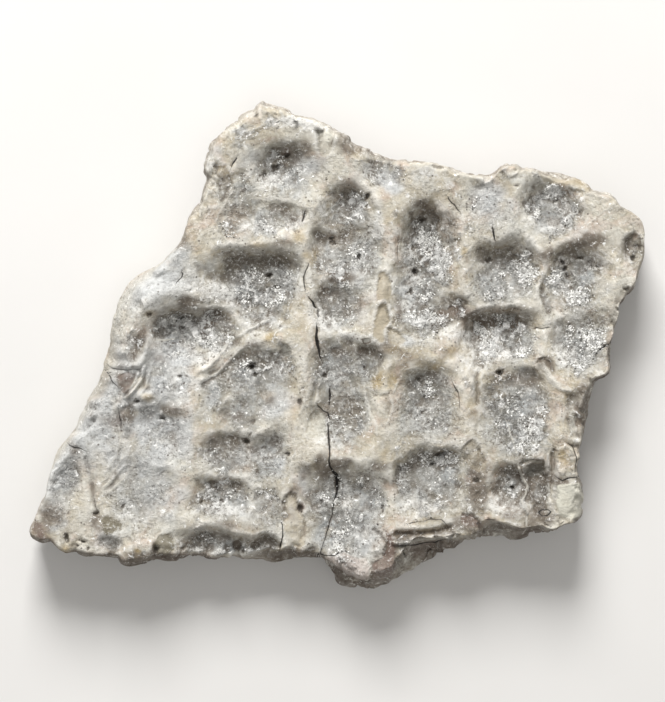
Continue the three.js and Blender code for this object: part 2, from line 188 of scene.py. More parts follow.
# ---- Flakes: kind of surface laid bare, its strength, depth (less than 0 stands proud), outline ----
# flakes of the dark brown kind are earth and painted shade
FLAKES = [
    ("tan", 0.8, 0.45, [(6.1, 10.2), (6.5, 10.6), (7.1, 10.7), (7.7, 10.1), (8.1, 9.0), (8.3, 7.7),
        (8.1, 6.5), (7.7, 6.1), (6.9, 6.3), (6.0, 6.0), (5.85, 7.2), (5.95, 8.9)]),
    ("tan", 0.9, 0.5, [(6.1, 5.2), (6.4, 5.6), (6.9, 5.85), (7.5, 5.4), (7.9, 4.4), (8.0, 3.5),
        (7.6, 2.7), (7.1, 2.0), (7.1, 0.4), (6.6, -0.1), (6.0, 0.3), (5.4, 1.0), (5.4, 1.7), (5.75, 2.3),
        (5.7, 3.1), (5.9, 4.1)]),
    ("tan", 0.6, 0.4, [(7.5, 2.6), (8.0, 2.5), (9.2, 1.5), (10.5, 0.4), (9.9, -0.1), (8.6, -0.4),
        (7.5, 0.0), (7.4, 1.4)]),
    ("grey", 0.6, 0.2, [(3.7, 0.7), (5.3, 0.9), (5.1, 0.1), (4.0, -0.1)]),
    ("grey", 0.6, 0.25, [(-8.2, 0.1), (-7.2, 0.1), (-6.5, -0.7), (-6.2, -1.6), (-6.7, -2.2), (-7.6, -1.9),
        (-8.3, -1.2)]),
    ("grey", 0.6, 0.35, [(-3.0, -5.6), (-3.4, -6.2), (-3.5, -7.4), (-3.9, -8.6), (-3.9, -9.8),
        (-3.5, -10.0), (-3.0, -8.4), (-2.8, -6.4)]),
    ("grey", 0.5, 0.15, [(-2.3, -5.6), (-1.3, -6.1), (-1.0, -7.4), (-1.0, -9.2), (-2.2, -9.3),
        (-2.5, -7.6)]),
    ("green", 0.5, 0.1, [(-2.9, -9.5), (-1.5, -10.5), (-1.3, -13.2), (-2.6, -14.4), (-4.4, -13.6),
        (-4.2, -11.2)]),
    ("tan", 0.3, 0.25, [(4.3, -6.5), (5.4, -6.9), (6.4, -7.4), (7.8, -7.4), (8.2, -9.2), (7.6, -11.6),
        (6.2, -12.0), (5.1, -10.2), (4.5, -8.2)]),
    ("tan", 0.4, 0.5, [(-8.0, -23.4), (-7.5, -22.2), (-6.6, -21.7), (-5.8, -22.1), (-5.4, -23.4),
        (-4.7, -25.0), (-4.3, -27.0), (-4.5, -29.6), (-5.6, -30.2), (-7.6, -30.0), (-7.7, -27.6),
        (-8.0, -25.6)]),
    ("tan", 0.5, 0.35, [(18.2, -15.6), (19.1, -14.5), (20.0, -14.2), (20.8, -14.8), (21.3, -15.9),
        (22.0, -17.1), (22.0, -18.5), (20.9, -19.0), (19.8, -18.5), (18.9, -17.4)]),
    ("soil_and_shade", 0.35, 0.25, [(20.1, -22.2), (20.8, -21.7), (21.5, -22.2), (21.6, -24.6), (20.9, -25.3),
        (20.2, -24.6)]),
    ("soil_and_shade", 0.8, 0.6, [(28.0, -17.9), (28.8, -17.5), (30.5, -17.3), (30.7, -18.6), (29.6, -19.1),
        (28.6, -18.6)]),
    ("grey", 0.5, 0.4, [(26.7, -17.6), (27.4, -17.1), (28.6, -16.9), (30.4, -16.9), (30.6, -19.2),
        (29.7, -19.5), (28.3, -19.8), (27.2, -18.9)]),
    ("ochre", 0.35, -0.5, [(32.2, -15.4), (33.4, -14.6), (35.2, -15.3), (35.6, -17.0), (35.1, -18.7),
        (33.6, -19.2), (32.0, -19.1)]),
    ("green", 0.85, -0.35, [(32.3, -20.7), (34.0, -20.4), (36.0, -20.3), (36.8, -22.4), (36.4, -25.0),
        (34.6, -26.2), (32.4, -25.2), (32.0, -22.8)]),
    ("tan", 0.1, -0.5, [(23.9, 26.2), (24.1, 25.1), (24.7, 24.3), (25.4, 23.9), (26.3, 24.4),
        (27.2, 25.2), (27.6, 26.4), (25.6, 27.2)]),
    ("tan", 0.3, 0.12, [(14.6, 21.9), (15.4, 22.4), (17.4, 22.1), (18.2, 20.9), (18.1, 19.3),
        (16.4, 19.6), (15.2, 20.5)]),
    ("rust", 0.4, 0.3, [(16.0, 5.0), (17.0, 5.8), (18.4, 5.7), (19.3, 4.8), (18.6, 4.0), (17.0, 4.0)]),
    ("soil_and_shade", 0.45, 0.45, [(29.1, -3.0), (29.6, -2.1), (30.5, -1.9), (31.5, -2.7), (32.2, -4.4),
        (31.5, -4.2), (30.6, -3.0), (29.8, -2.9)]),
    ("green", 0.4, 0.7, [(-3.0, 31.0), (-2.7, 29.2), (-2.5, 27.8), (-1.8, 27.1), (-0.9, 27.5),
        (-0.5, 28.8), (-0.1, 30.2), (-1.2, 31.4)]),
    ("soil_and_shade", 0.1, 0.3, [(-17.9, 26.1), (-16.3, 25.8), (-15.4, 24.6), (-14.7, 22.5), (-15.7, 22.0),
        (-16.5, 20.5), (-17.2, 20.2), (-17.4, 21.6), (-16.9, 23.2), (-17.6, 24.6)]),
    ("rust", 0.6, 0.3, [(-32.3, -4.9), (-30.2, -4.0), (-28.9, -4.5), (-29.5, -6.0), (-30.2, -7.4),
        (-31.5, -7.5), (-31.5, -6.0)]),
    ("mudstone", 0.95, 0.15, [(-34.4, -25.6), (-33.2, -25.2), (-32.2, -25.7), (-31.1, -26.3),
        (-31.2, -27.6), (-32.2, -27.5), (-32.4, -27.9), (-33.7, -28.1), (-34.2, -27.4)]),
    ("mudstone", 0.85, 0.15, [(-26.2, -28.2), (-25.2, -27.8), (-24.2, -27.8), (-23.7, -28.8),
        (-23.5, -30.4), (-24.8, -31.0), (-26.4, -30.6), (-26.8, -29.6)]),
    ("pink", 0.9, -0.3, [(-1.8, -31.4), (-0.2, -31.2), (0.8, -30.5), (2.2, -31.0), (4.4, -31.6),
        (5.0, -32.8), (4.8, -34.4), (3.6, -35.1), (1.6, -34.1), (0.2, -33.1)]),
    ("rust", 1.0, 0.3, [(6.8, -26.9), (7.7, -27.6), (8.3, -28.1), (8.6, -29.2), (8.8, -31.0),
        (8.9, -32.5), (8.0, -34.6), (6.8, -35.9), (5.4, -35.5), (4.8, -34.0), (5.2, -32.2), (6.8, -31.1),
        (7.5, -30.0), (7.3, -28.2)]),
    ("tan", 0.6, 0.3, [(29.2, 25.2), (31.0, 24.7), (34.0, 24.2), (36.6, 23.4), (36.2, 22.5), (34.0, 23.0),
        (32.0, 23.3), (30.2, 23.7)]),
    ("soil_and_shade", 0.4, 0.3, [(42.3, 15.6), (43.4, 16.2), (44.4, 15.4), (44.5, 13.8), (43.6, 12.4),
        (42.3, 13.0)]),
    ("tan", 0.35, 0.15, [(20.3, -4.2), (21.3, -4.2), (21.2, -6.5), (21.2, -8.8), (20.4, -8.8),
        (20.25, -6.5)]),
    ("grey", 0.3, 0.25, [(38.0, -1.5), (39.2, -0.3), (40.5, 0.1), (40.8, -4.0), (38.6, -4.9),
        (37.4, -2.8)]),
    ("soil_and_shade", 0.8, 0.5, [(-15.4, -29.1), (-14.0, -28.7), (-13.9, -30.0), (-14.3, -31.0), (-14.9, -30.6),
        (-15.5, -30.0)]),
    ("tan", 0.3, -0.15, [(-12.0, -13.3), (-10.7, -12.1), (-9.4, -11.9), (-8.2, -12.9), (-6.6, -14.0),
        (-8.6, -13.8), (-10.4, -13.7)]),
    ("rust", 0.8, 0.3, [(18.2, -24.9), (19.8, -24.9), (20.8, -25.6), (21.6, -26.8), (19.6, -27.2),
        (18.2, -26.4)]),
    ("grey", 0.4, 0.2, [(10.9, -26.3), (12.4, -26.0), (14.2, -25.6), (15.5, -25.9), (16.3, -26.7),
        (14.8, -27.2), (12.6, -27.0)]),
]

# ---- Cracks, slits, hairlines and shadows under lips, all painted near black as shade: runs of (x, y, half width) ----
CRACK_AND_SHADOW_LINES = [
    # the long crack, from the top
    [(-4.0, 11.5, 0.04), (-4.4, 10.6, 0.07), (-4.7, 9.8, 0.09), (-4.5, 8.1, 0.07)],
    [(-3.9, 6.6, 0.06), (-3.4, 6.0, 0.12), (-3.1, 5.3, 0.08)],
    [(-2.6, 4.7, 0.04), (-2.6, 4.0, 0.05)],
    [(-2.8, 2.5, 0.05), (-2.85, 1.4, 0.2), (-2.75, 0.4, 0.28), (-2.6, -0.6, 0.24), (-2.4, -1.5, 0.14),
        (-2.2, -2.3, 0.06)],
    [(-0.9, -6.8, 0.06), (-0.8, -7.7, 0.22), (-0.9, -8.4, 0.08), (-0.95, -9.1, 0.04)],
    [(-2.6, -9.2, 0.05), (-1.9, -9.9, 0.06), (-1.2, -10.3, 0.08), (-1.1, -10.9, 0.1)],
    [(-1.15, -11.9, 0.05), (-1.0, -14.0, 0.1), (-0.95, -16.4, 0.09), (-0.9, -18.0, 0.1),
        (-0.4, -18.9, 0.16), (0.1, -19.4, 0.22), (0.15, -20.6, 0.2), (0.1, -22.2, 0.12),
        (-0.3, -23.6, 0.07), (-0.5, -25.0, 0.06), (-1.0, -26.8, 0.05), (-1.15, -27.3, 0.1),
        (-1.6, -28.6, 0.04), (-2.1, -30.0, 0.04), (-2.45, -31.3, 0.06)],
    [(0.2, -19.4, 0.14), (0.7, -19.9, 0.05)],
    [(-2.4, -31.1, 0.04), (-0.2, -31.1, 0.04), (0.4, -30.7, 0.05), (1.0, -30.3, 0.05),
        (1.6, -30.6, 0.02)],
    # short slits
    [(22.9, 17.0, 0.03), (22.95, 16.2, 0.14), (23.3, 15.0, 0.04)],
    [(-4.6, 19.0, 0.05), (-4.8, 18.4, 0.09), (-5.0, 17.8, 0.06)],
    [(16.4, 21.1, 0.04), (17.3, 20.3, 0.06), (18.0, 19.3, 0.04)],
    [(-14.5, 27.0, 0.04), (-14.9, 26.3, 0.07), (-15.2, 25.7, 0.03)],
    # lips of pits and ledges: painted shadow under them
    [(16.9, -5.4, 0.02), (17.6, -6.7, 0.04), (18.1, -8.0, 0.03), (18.1, -9.4, 0.02)],
    [(10.8, -26.4, 0.04), (12.5, -26.1, 0.02), (14.2, -25.7, 0.02), (15.6, -25.9, 0.03),
        (16.3, -26.7, 0.02)],
    [(-39.0, -15.0, 0.03), (-38.0, -15.3, 0.06), (-37.2, -15.3, 0.05), (-36.5, -15.8, 0.02)],
    [(38.1, -1.5, 0.05), (39.2, -0.5, 0.1), (40.3, 0.1, 0.08)],
    [(-22.4, 10.2, 0.05), (-22.6, 9.4, 0.04), (-23.2, 8.8, 0.06)],
    [(-35.3, -22.8, 0.01), (-35.2, -23.8, 0.02), (-34.8, -24.6, 0.01)],
    [(32.2, -19.5, 0.03), (33.0, -20.0, 0.06), (33.8, -19.7, 0.09), (35.0, -19.6, 0.04)],
    [(33.4, -14.4, 0.02), (34.6, -15.2, 0.04), (35.1, -16.8, 0.06), (34.9, -18.6, 0.04)],
    [(29.6, -24.9, 0.04), (30.1, -24.4, 0.05), (30.9, -24.3, 0.05), (31.4, -24.7, 0.04),
        (30.9, -25.2, 0.05), (30.1, -25.3, 0.04), (29.6, -24.9, 0.04)],
    [(-34.0, -3.0, 0.02), (-32.7, -3.8, 0.03), (-30.4, -3.9, 0.03), (-28.6, -3.7, 0.02)],
    [(-31.6, -9.8, 0.02), (-31.4, -11.2, 0.04), (-31.4, -12.4, 0.02)],
    [(29.3, 2.2, 0.04), (30.2, 2.1, 0.03), (31.2, 2.4, 0.04)],
    [(-34.2, -4.1, 0.04), (-32.9, -5.2, 0.07), (-32.0, -6.2, 0.04)],
    [(9.2, 15.6, 0.02), (9.0, 14.0, 0.03), (9.1, 12.4, 0.02)],
    [(8.9, -29.6, 0.05), (11.5, -29.7, 0.07), (14.5, -29.2, 0.05), (16.8, -28.5, 0.02)],
    [(-7.9, -26.4, 0.04), (-7.8, -28.2, 0.07), (-8.2, -29.8, 0.1)],
]

# ---- Thin raised lips and folds: runs of (x, y, half width) ----
LIGHT_LINES = [
    [(4.1, -6.6, 0.05), (4.4, -8.1, 0.09), (5.0, -10.2, 0.11), (5.9, -11.8, 0.1), (6.0, -13.3, 0.06)],
    [(8.1, -7.9, 0.05), (8.3, -9.6, 0.08), (7.6, -11.6, 0.06)],
    [(8.8, -29.1, 0.12), (11.0, -29.1, 0.14), (12.6, -28.9, 0.12), (14.6, -28.6, 0.12),
        (16.6, -27.9, 0.1)],
    [(26.7, -17.6, 0.08), (26.9, -18.8, 0.12), (27.6, -20.0, 0.12), (28.1, -20.9, 0.12),
        (27.7, -22.2, 0.1), (27.2, -23.2, 0.08), (27.9, -24.6, 0.08), (27.8, -26.4, 0.06)],
    [(29.6, -3.6, 0.08), (30.8, -5.0, 0.14), (32.0, -6.4, 0.14), (33.2, -6.8, 0.1)],
    [(30.4, -2.9, 0.08), (31.2, -4.3, 0.12), (32.2, -5.9, 0.12), (34.0, -6.5, 0.08)],
    [(24.0, -9.6, 0.04), (24.6, -10.7, 0.07), (25.3, -12.0, 0.06), (25.6, -13.5, 0.06),
        (26.1, -14.7, 0.1), (26.5, -16.0, 0.06)],
    [(-20.0, -4.0, 0.1), (-18.2, -3.2, 0.12), (-16.6, -1.0, 0.1), (-15.2, 0.6, 0.06)],
    [(-19.9, -4.7, 0.06), (-17.6, -3.6, 0.08), (-16.0, -1.7, 0.06)],
    [(-31.6, -8.2, 0.1), (-30.2, -7.8, 0.12), (-29.4, -6.6, 0.14), (-28.7, -5.2, 0.12)],
    [(-28.9, -7.5, 0.1), (-28.3, -6.3, 0.12), (-28.5, -5.3, 0.08)],
    [(-15.3, 21.9, 0.08), (-16.4, 20.1, 0.1), (-17.4, 18.2, 0.06)],
    [(20.9, -14.4, 0.06), (21.9, -15.6, 0.09), (22.6, -17.2, 0.08)],
    [(-31.4, -14.2, 0.08), (-31.8, -16.2, 0.1), (-33.2, -18.2, 0.08)],
    [(-30.6, -14.4, 0.07), (-31.2, -16.8, 0.1), (-33.4, -19.8, 0.08)],
    [(-29.6, -17.8, 0.08), (-31.0, -19.8, 0.1), (-33.4, -21.9, 0.06)],
    [(-13.6, 30.6, 0.08), (-11.2, 31.5, 0.1), (-9.9, 32.1, 0.05)],
    [(-14.4, 29.2, 0.06), (-12.8, 30.0, 0.08), (-11.4, 30.3, 0.05)],
    [(36.2, 22.4, 0.06), (36.3, 20.0, 0.08), (35.9, 17.8, 0.05)],
    [(40.4, 20.2, 0.06), (38.4, 18.8, 0.08), (36.8, 17.4, 0.06)],
    [(-26.4, 0.6, 0.08), (-25.0, 0.4, 0.1), (-23.4, 0.7, 0.08)],
    [(10.0, -3.9, 0.05), (12.0, -3.7, 0.1), (13.4, -4.0, 0.06)],
    [(8.4, -7.2, 0.08), (8.9, -6.0, 0.1), (9.6, -4.9, 0.06)],
    [(15.6, -4.1, 0.08), (16.6, -5.0, 0.12), (17.5, -6.2, 0.1)],
    [(17.0, -11.7, 0.06), (16.5, -12.8, 0.1), (16.1, -13.8, 0.06)],
]

# ---- Folds and grooves too wide for a line: half width, depth (less than 0 is a raised fold), points ----
GROOVES = [
    (0.9, 1.0, [(8.9, -28.0), (12.0, -27.9), (14.6, -27.6), (16.4, -27.0)]),
    (0.4, -0.8, [(8.5, -29.2), (11.0, -29.2), (14.8, -28.7), (16.8, -27.9)]),
    (1.0, 0.3, [(-36.4, -17.0), (-36.0, -19.4), (-35.3, -21.8), (-35.3, -23.6), (-34.6, -25.4)]),
    (1.6, -0.4, [(-30.6, 2.6), (-28.8, 5.0), (-26.2, 6.9), (-23.4, 7.6), (-20.4, 7.0)]),
    (0.7, -0.5, [(-33.6, -2.6), (-32.4, -3.2), (-30.4, -3.4), (-28.6, -3.1), (-27.7, -1.6),
        (-27.5, 0.2)]),
    (0.35, -0.5, [(-27.9, -3.6), (-28.3, -5.2), (-29.2, -6.6), (-30.2, -7.6)]),
    (0.3, -0.4, [(-28.9, -4.4), (-29.2, -5.6), (-30.0, -6.6), (-31.0, -7.4)]),
    (0.3, -0.35, [(-27.4, -4.6), (-27.7, -6.2), (-28.6, -7.8)]),
    (0.9, -0.6, [(-28.2, -8.0), (-27.0, -7.6)]),
    (0.5, -0.45, [(-30.9, -10.6), (-30.8, -12.0), (-30.6, -13.4)]),
    (1.5, -0.35, [(23.8, -24.8), (25.4, -25.4), (26.8, -24.6)]),
    (0.4, -0.5, [(26.9, -18.4), (27.6, -20.0), (28.1, -20.9), (27.7, -22.2), (27.2, -23.2),
        (27.9, -24.8)]),
    (0.3, -0.6, [(31.0, -16.4), (31.1, -18.6), (31.0, -21.0), (31.2, -23.4)]),
    (0.5, -0.3, [(-20.2, -4.2), (-18.2, -3.2), (-16.6, -1.2), (-15.0, 0.6), (-12.5, 2.2), (-9.5, 3.6)]),
    (0.3, 0.15, [(-20.0, -4.8), (-17.8, -3.8), (-16.0, -1.8), (-14.4, -0.2)]),
    (0.4, -0.3, [(-19.6, -5.4), (-17.4, -4.4), (-15.4, -2.4), (-13.8, -0.8)]),
    (0.4, -0.15, [(-31.8, -14.6), (-32.2, -16.6), (-33.8, -19.0)]),
    (0.4, 0.12, [(-31.2, -15.6), (-32.0, -17.8), (-33.8, -20.6)]),
    (0.4, -0.15, [(-30.2, -15.2), (-30.8, -17.8), (-33.6, -21.0)]),
    (0.45, 0.6, [(31.8, -15.6), (31.7, -17.4), (31.8, -19.4)]),
    (0.5, -0.3, [(30.0, -3.0), (31.2, -4.8), (32.6, -6.6), (34.2, -7.0)]),
    (0.5, 0.35, [(20.7, -4.2), (20.7, -6.5), (20.8, -8.8)]),
    (0.5, 0.5, [(5.6, -27.4), (6.6, -28.2), (7.6, -29.4), (7.2, -31.0)]),
    (1.0, 1.2, [(-9.0, -31.9), (-6.0, -31.1), (-3.6, -31.4)]),
    (0.7, 0.35, [(17.0, 7.0), (18.8, 6.4), (20.0, 5.0), (20.4, 3.4)]),
]

# ---- Pores: x, y, half width, half height, turn in degrees, depth ----
PORES = [
    (-12.2, -3.5, 0.6, 0.4, 0, 0.9), (-11.9, -4.6, 0.4, 0.35, 20, 0.5), (-13.2, -14.3, 0.5, 0.4, 0, 0.7),
    (-12.8, -13.5, 0.2, 0.2, 0, 0.4), (-12.2, -11.4, 0.28, 0.3, 0, 0.4),
    (-25.5, -11.0, 0.42, 0.3, 0, 0.6), (-22.8, -4.8, 0.3, 0.22, 20, 0.4),
    (-39.4, -28.4, 0.4, 0.75, 20, 0.6), (-36.9, -28.9, 0.42, 0.25, -20, 0.5),
    (-37.5, -29.7, 0.3, 0.18, 0, 0.3), (-36.2, -30.1, 0.2, 0.25, 0, 0.3),
    (-9.8, 10.0, 0.5, 0.35, 20, 0.9), (-27.1, 4.3, 0.45, 0.4, 0, 0.2), (-21.4, 7.7, 0.3, 0.2, 0, 0.3),
    (4.5, 21.5, 0.4, 0.3, 10, 0.7), (-0.5, 15.4, 0.25, 0.3, 0, 0.5), (-0.4, 14.8, 0.28, 0.16, 0, 0.4),
    (11.7, 10.6, 0.35, 0.55, 20, 0.9), (11.1, 7.6, 0.3, 0.25, 0, 0.7), (10.6, 7.2, 0.25, 0.2, 0, 0.4),
    (12.6, 18.3, 0.5, 0.3, 0, 0.7), (22.4, 12.2, 0.6, 0.3, 10, 0.4), (38.5, 11.3, 0.3, 0.2, -30, 0.3),
    (37.4, 11.2, 0.22, 0.2, 0, 0.2), (24.1, -4.3, 0.5, 0.28, 0, 0.9), (25.9, -21.2, 0.4, 0.3, 0, 0.7),
    (4.3, -3.6, 0.3, 0.3, 0, 0.5), (-6.9, -16.1, 0.35, 0.35, 0, 0.5), (14.2, -17.8, 0.3, 0.25, 0, 0.6),
    (12.2, -5.1, 0.22, 0.2, 0, 0.5), (12.7, -10.3, 0.25, 0.25, 0, 0.5),
    (-31.1, -23.7, 0.15, 0.17, 0, 0.4), (-35.1, -24.8, 0.4, 0.22, 0, 0.5),
    (6.9, -24.2, 0.22, 0.45, 0, 0.4), (-5.2, -24.2, 0.5, 0.75, 0, 0.5), (33.2, 12.0, 0.4, 0.35, 0, 0.4),
    (33.6, 11.0, 0.4, 0.5, 10, 0.6), (34.0, 9.8, 0.3, 0.4, 0, 0.5), (35.8, 12.5, 0.42, 0.15, 0, 0.4),
    (-1.6, -4.9, 0.28, 0.4, 20, 0.7), (-1.2, -4.2, 0.12, 0.25, 0, 0.3), (-8.8, 25.8, 0.8, 0.5, 30, 0.5),
    (-10.5, 24.8, 0.25, 0.4, 30, 0.5), (-7.2, 27.6, 0.5, 0.4, 0, 0.5), (-10.4, -17.4, 0.28, 0.22, 0, 0.3),
    (-10.5, -15.2, 0.2, 0.2, 0, 0.3), (-16.9, -23.2, 0.3, 0.2, 0, 0.3), (-19.6, -23.3, 0.2, 0.2, 0, 0.3),
    (42.4, 7.9, 0.4, 0.25, -30, 0.7), (41.2, 4.9, 0.3, 0.3, 0, 0.4), (44.0, 14.1, 0.3, 0.2, 0, 0.3),
    (-22.6, 3.8, 0.7, 0.2, 0, 0.5), (-22.6, 2.4, 0.5, 0.3, 20, 0.4), (-24.6, 1.4, 0.5, 0.2, 0, 0.3),
    (-5.7, 16.3, 0.3, 0.14, 10, 0.25), (-1.4, 24.0, 0.16, 0.2, 0, 0.2), (-31.6, 0.8, 0.2, 0.25, 0, 0.3),
    (-29.0, -8.6, 0.5, 0.3, 0, 0.6), (-36.3, -12.2, 0.35, 0.15, 0, 0.3), (15.4, -16.3, 0.9, 0.3, 10, 0.5),
    (-4.9, -6.6, 0.25, 0.3, 0, 0.3), (-5.2, -8.6, 0.4, 0.5, 0, 0.35), (-33.4, 0.0, 0.15, 0.3, 0, 0.3),
    (6.4, 9.3, 0.12, 0.3, -30, 0.2), (5.4, 9.6, 0.25, 0.12, -30, 0.2), (3.4, 12.7, 0.4, 0.4, 0, 0.4),
    (-26.2, -30.2, 0.5, 0.6, -20, 0.6), (43.3, 12.4, 0.4, 0.5, 0, 0.4), (20.6, -20.1, 0.5, 0.4, 0, 0.3),
    (-26.7, -20.8, 0.16, 0.2, 0, 0.3), (29.4, 0.6, 0.25, 0.2, 20, 0.2), (26.5, 23.1, 0.3, 0.2, 0, 0.25),
    (24.9, 18.2, 0.16, 0.2, 0, 0.25),
]

# ---- Where painted shade on the broken edge that faces -Y is held back: x, y, reach across, reach along, strength ----
PALE_EDGES = [
    (19.9, -28.7, 2.4, 1.0, 0.8), (10.2, -33.0, 4.4, 2.0, 1.0), (-13.0, -31.8, 3.6, 1.2, 1.0),
    (24.6, -28.2, 1.6, 1.0, 1.0),
]

# ---- Bevels: x, y, reach, amount, where the broken edge slopes in further ----
BEVELS = [
    (-37.0, 3.0, 12.0, 3.2), (-39.5, -9.0, 5.0, 0.8), (-42.5, -18.0, 5.0, 0.8), (12.5, -33.0, 5.5, 4.4),
    (6.5, -36.0, 2.4, 1.2), (25.0, -29.0, 7.0, 2.2), (-28.0, -32.5, 6.0, 1.0), (-9.0, -32.0, 5.0, 1.0),
    (2.0, -36.0, 3.0, 0.7), (-6.0, -32.0, 4.0, 0.8), (0.0, -34.5, 2.6, 0.9), (-15.0, 32.0, 6.0, 0.9),
    (1.0, 31.0, 4.0, 0.8), (36.0, 25.0, 6.0, 1.2), (37.8, -10.0, 5.0, 0.7),
]
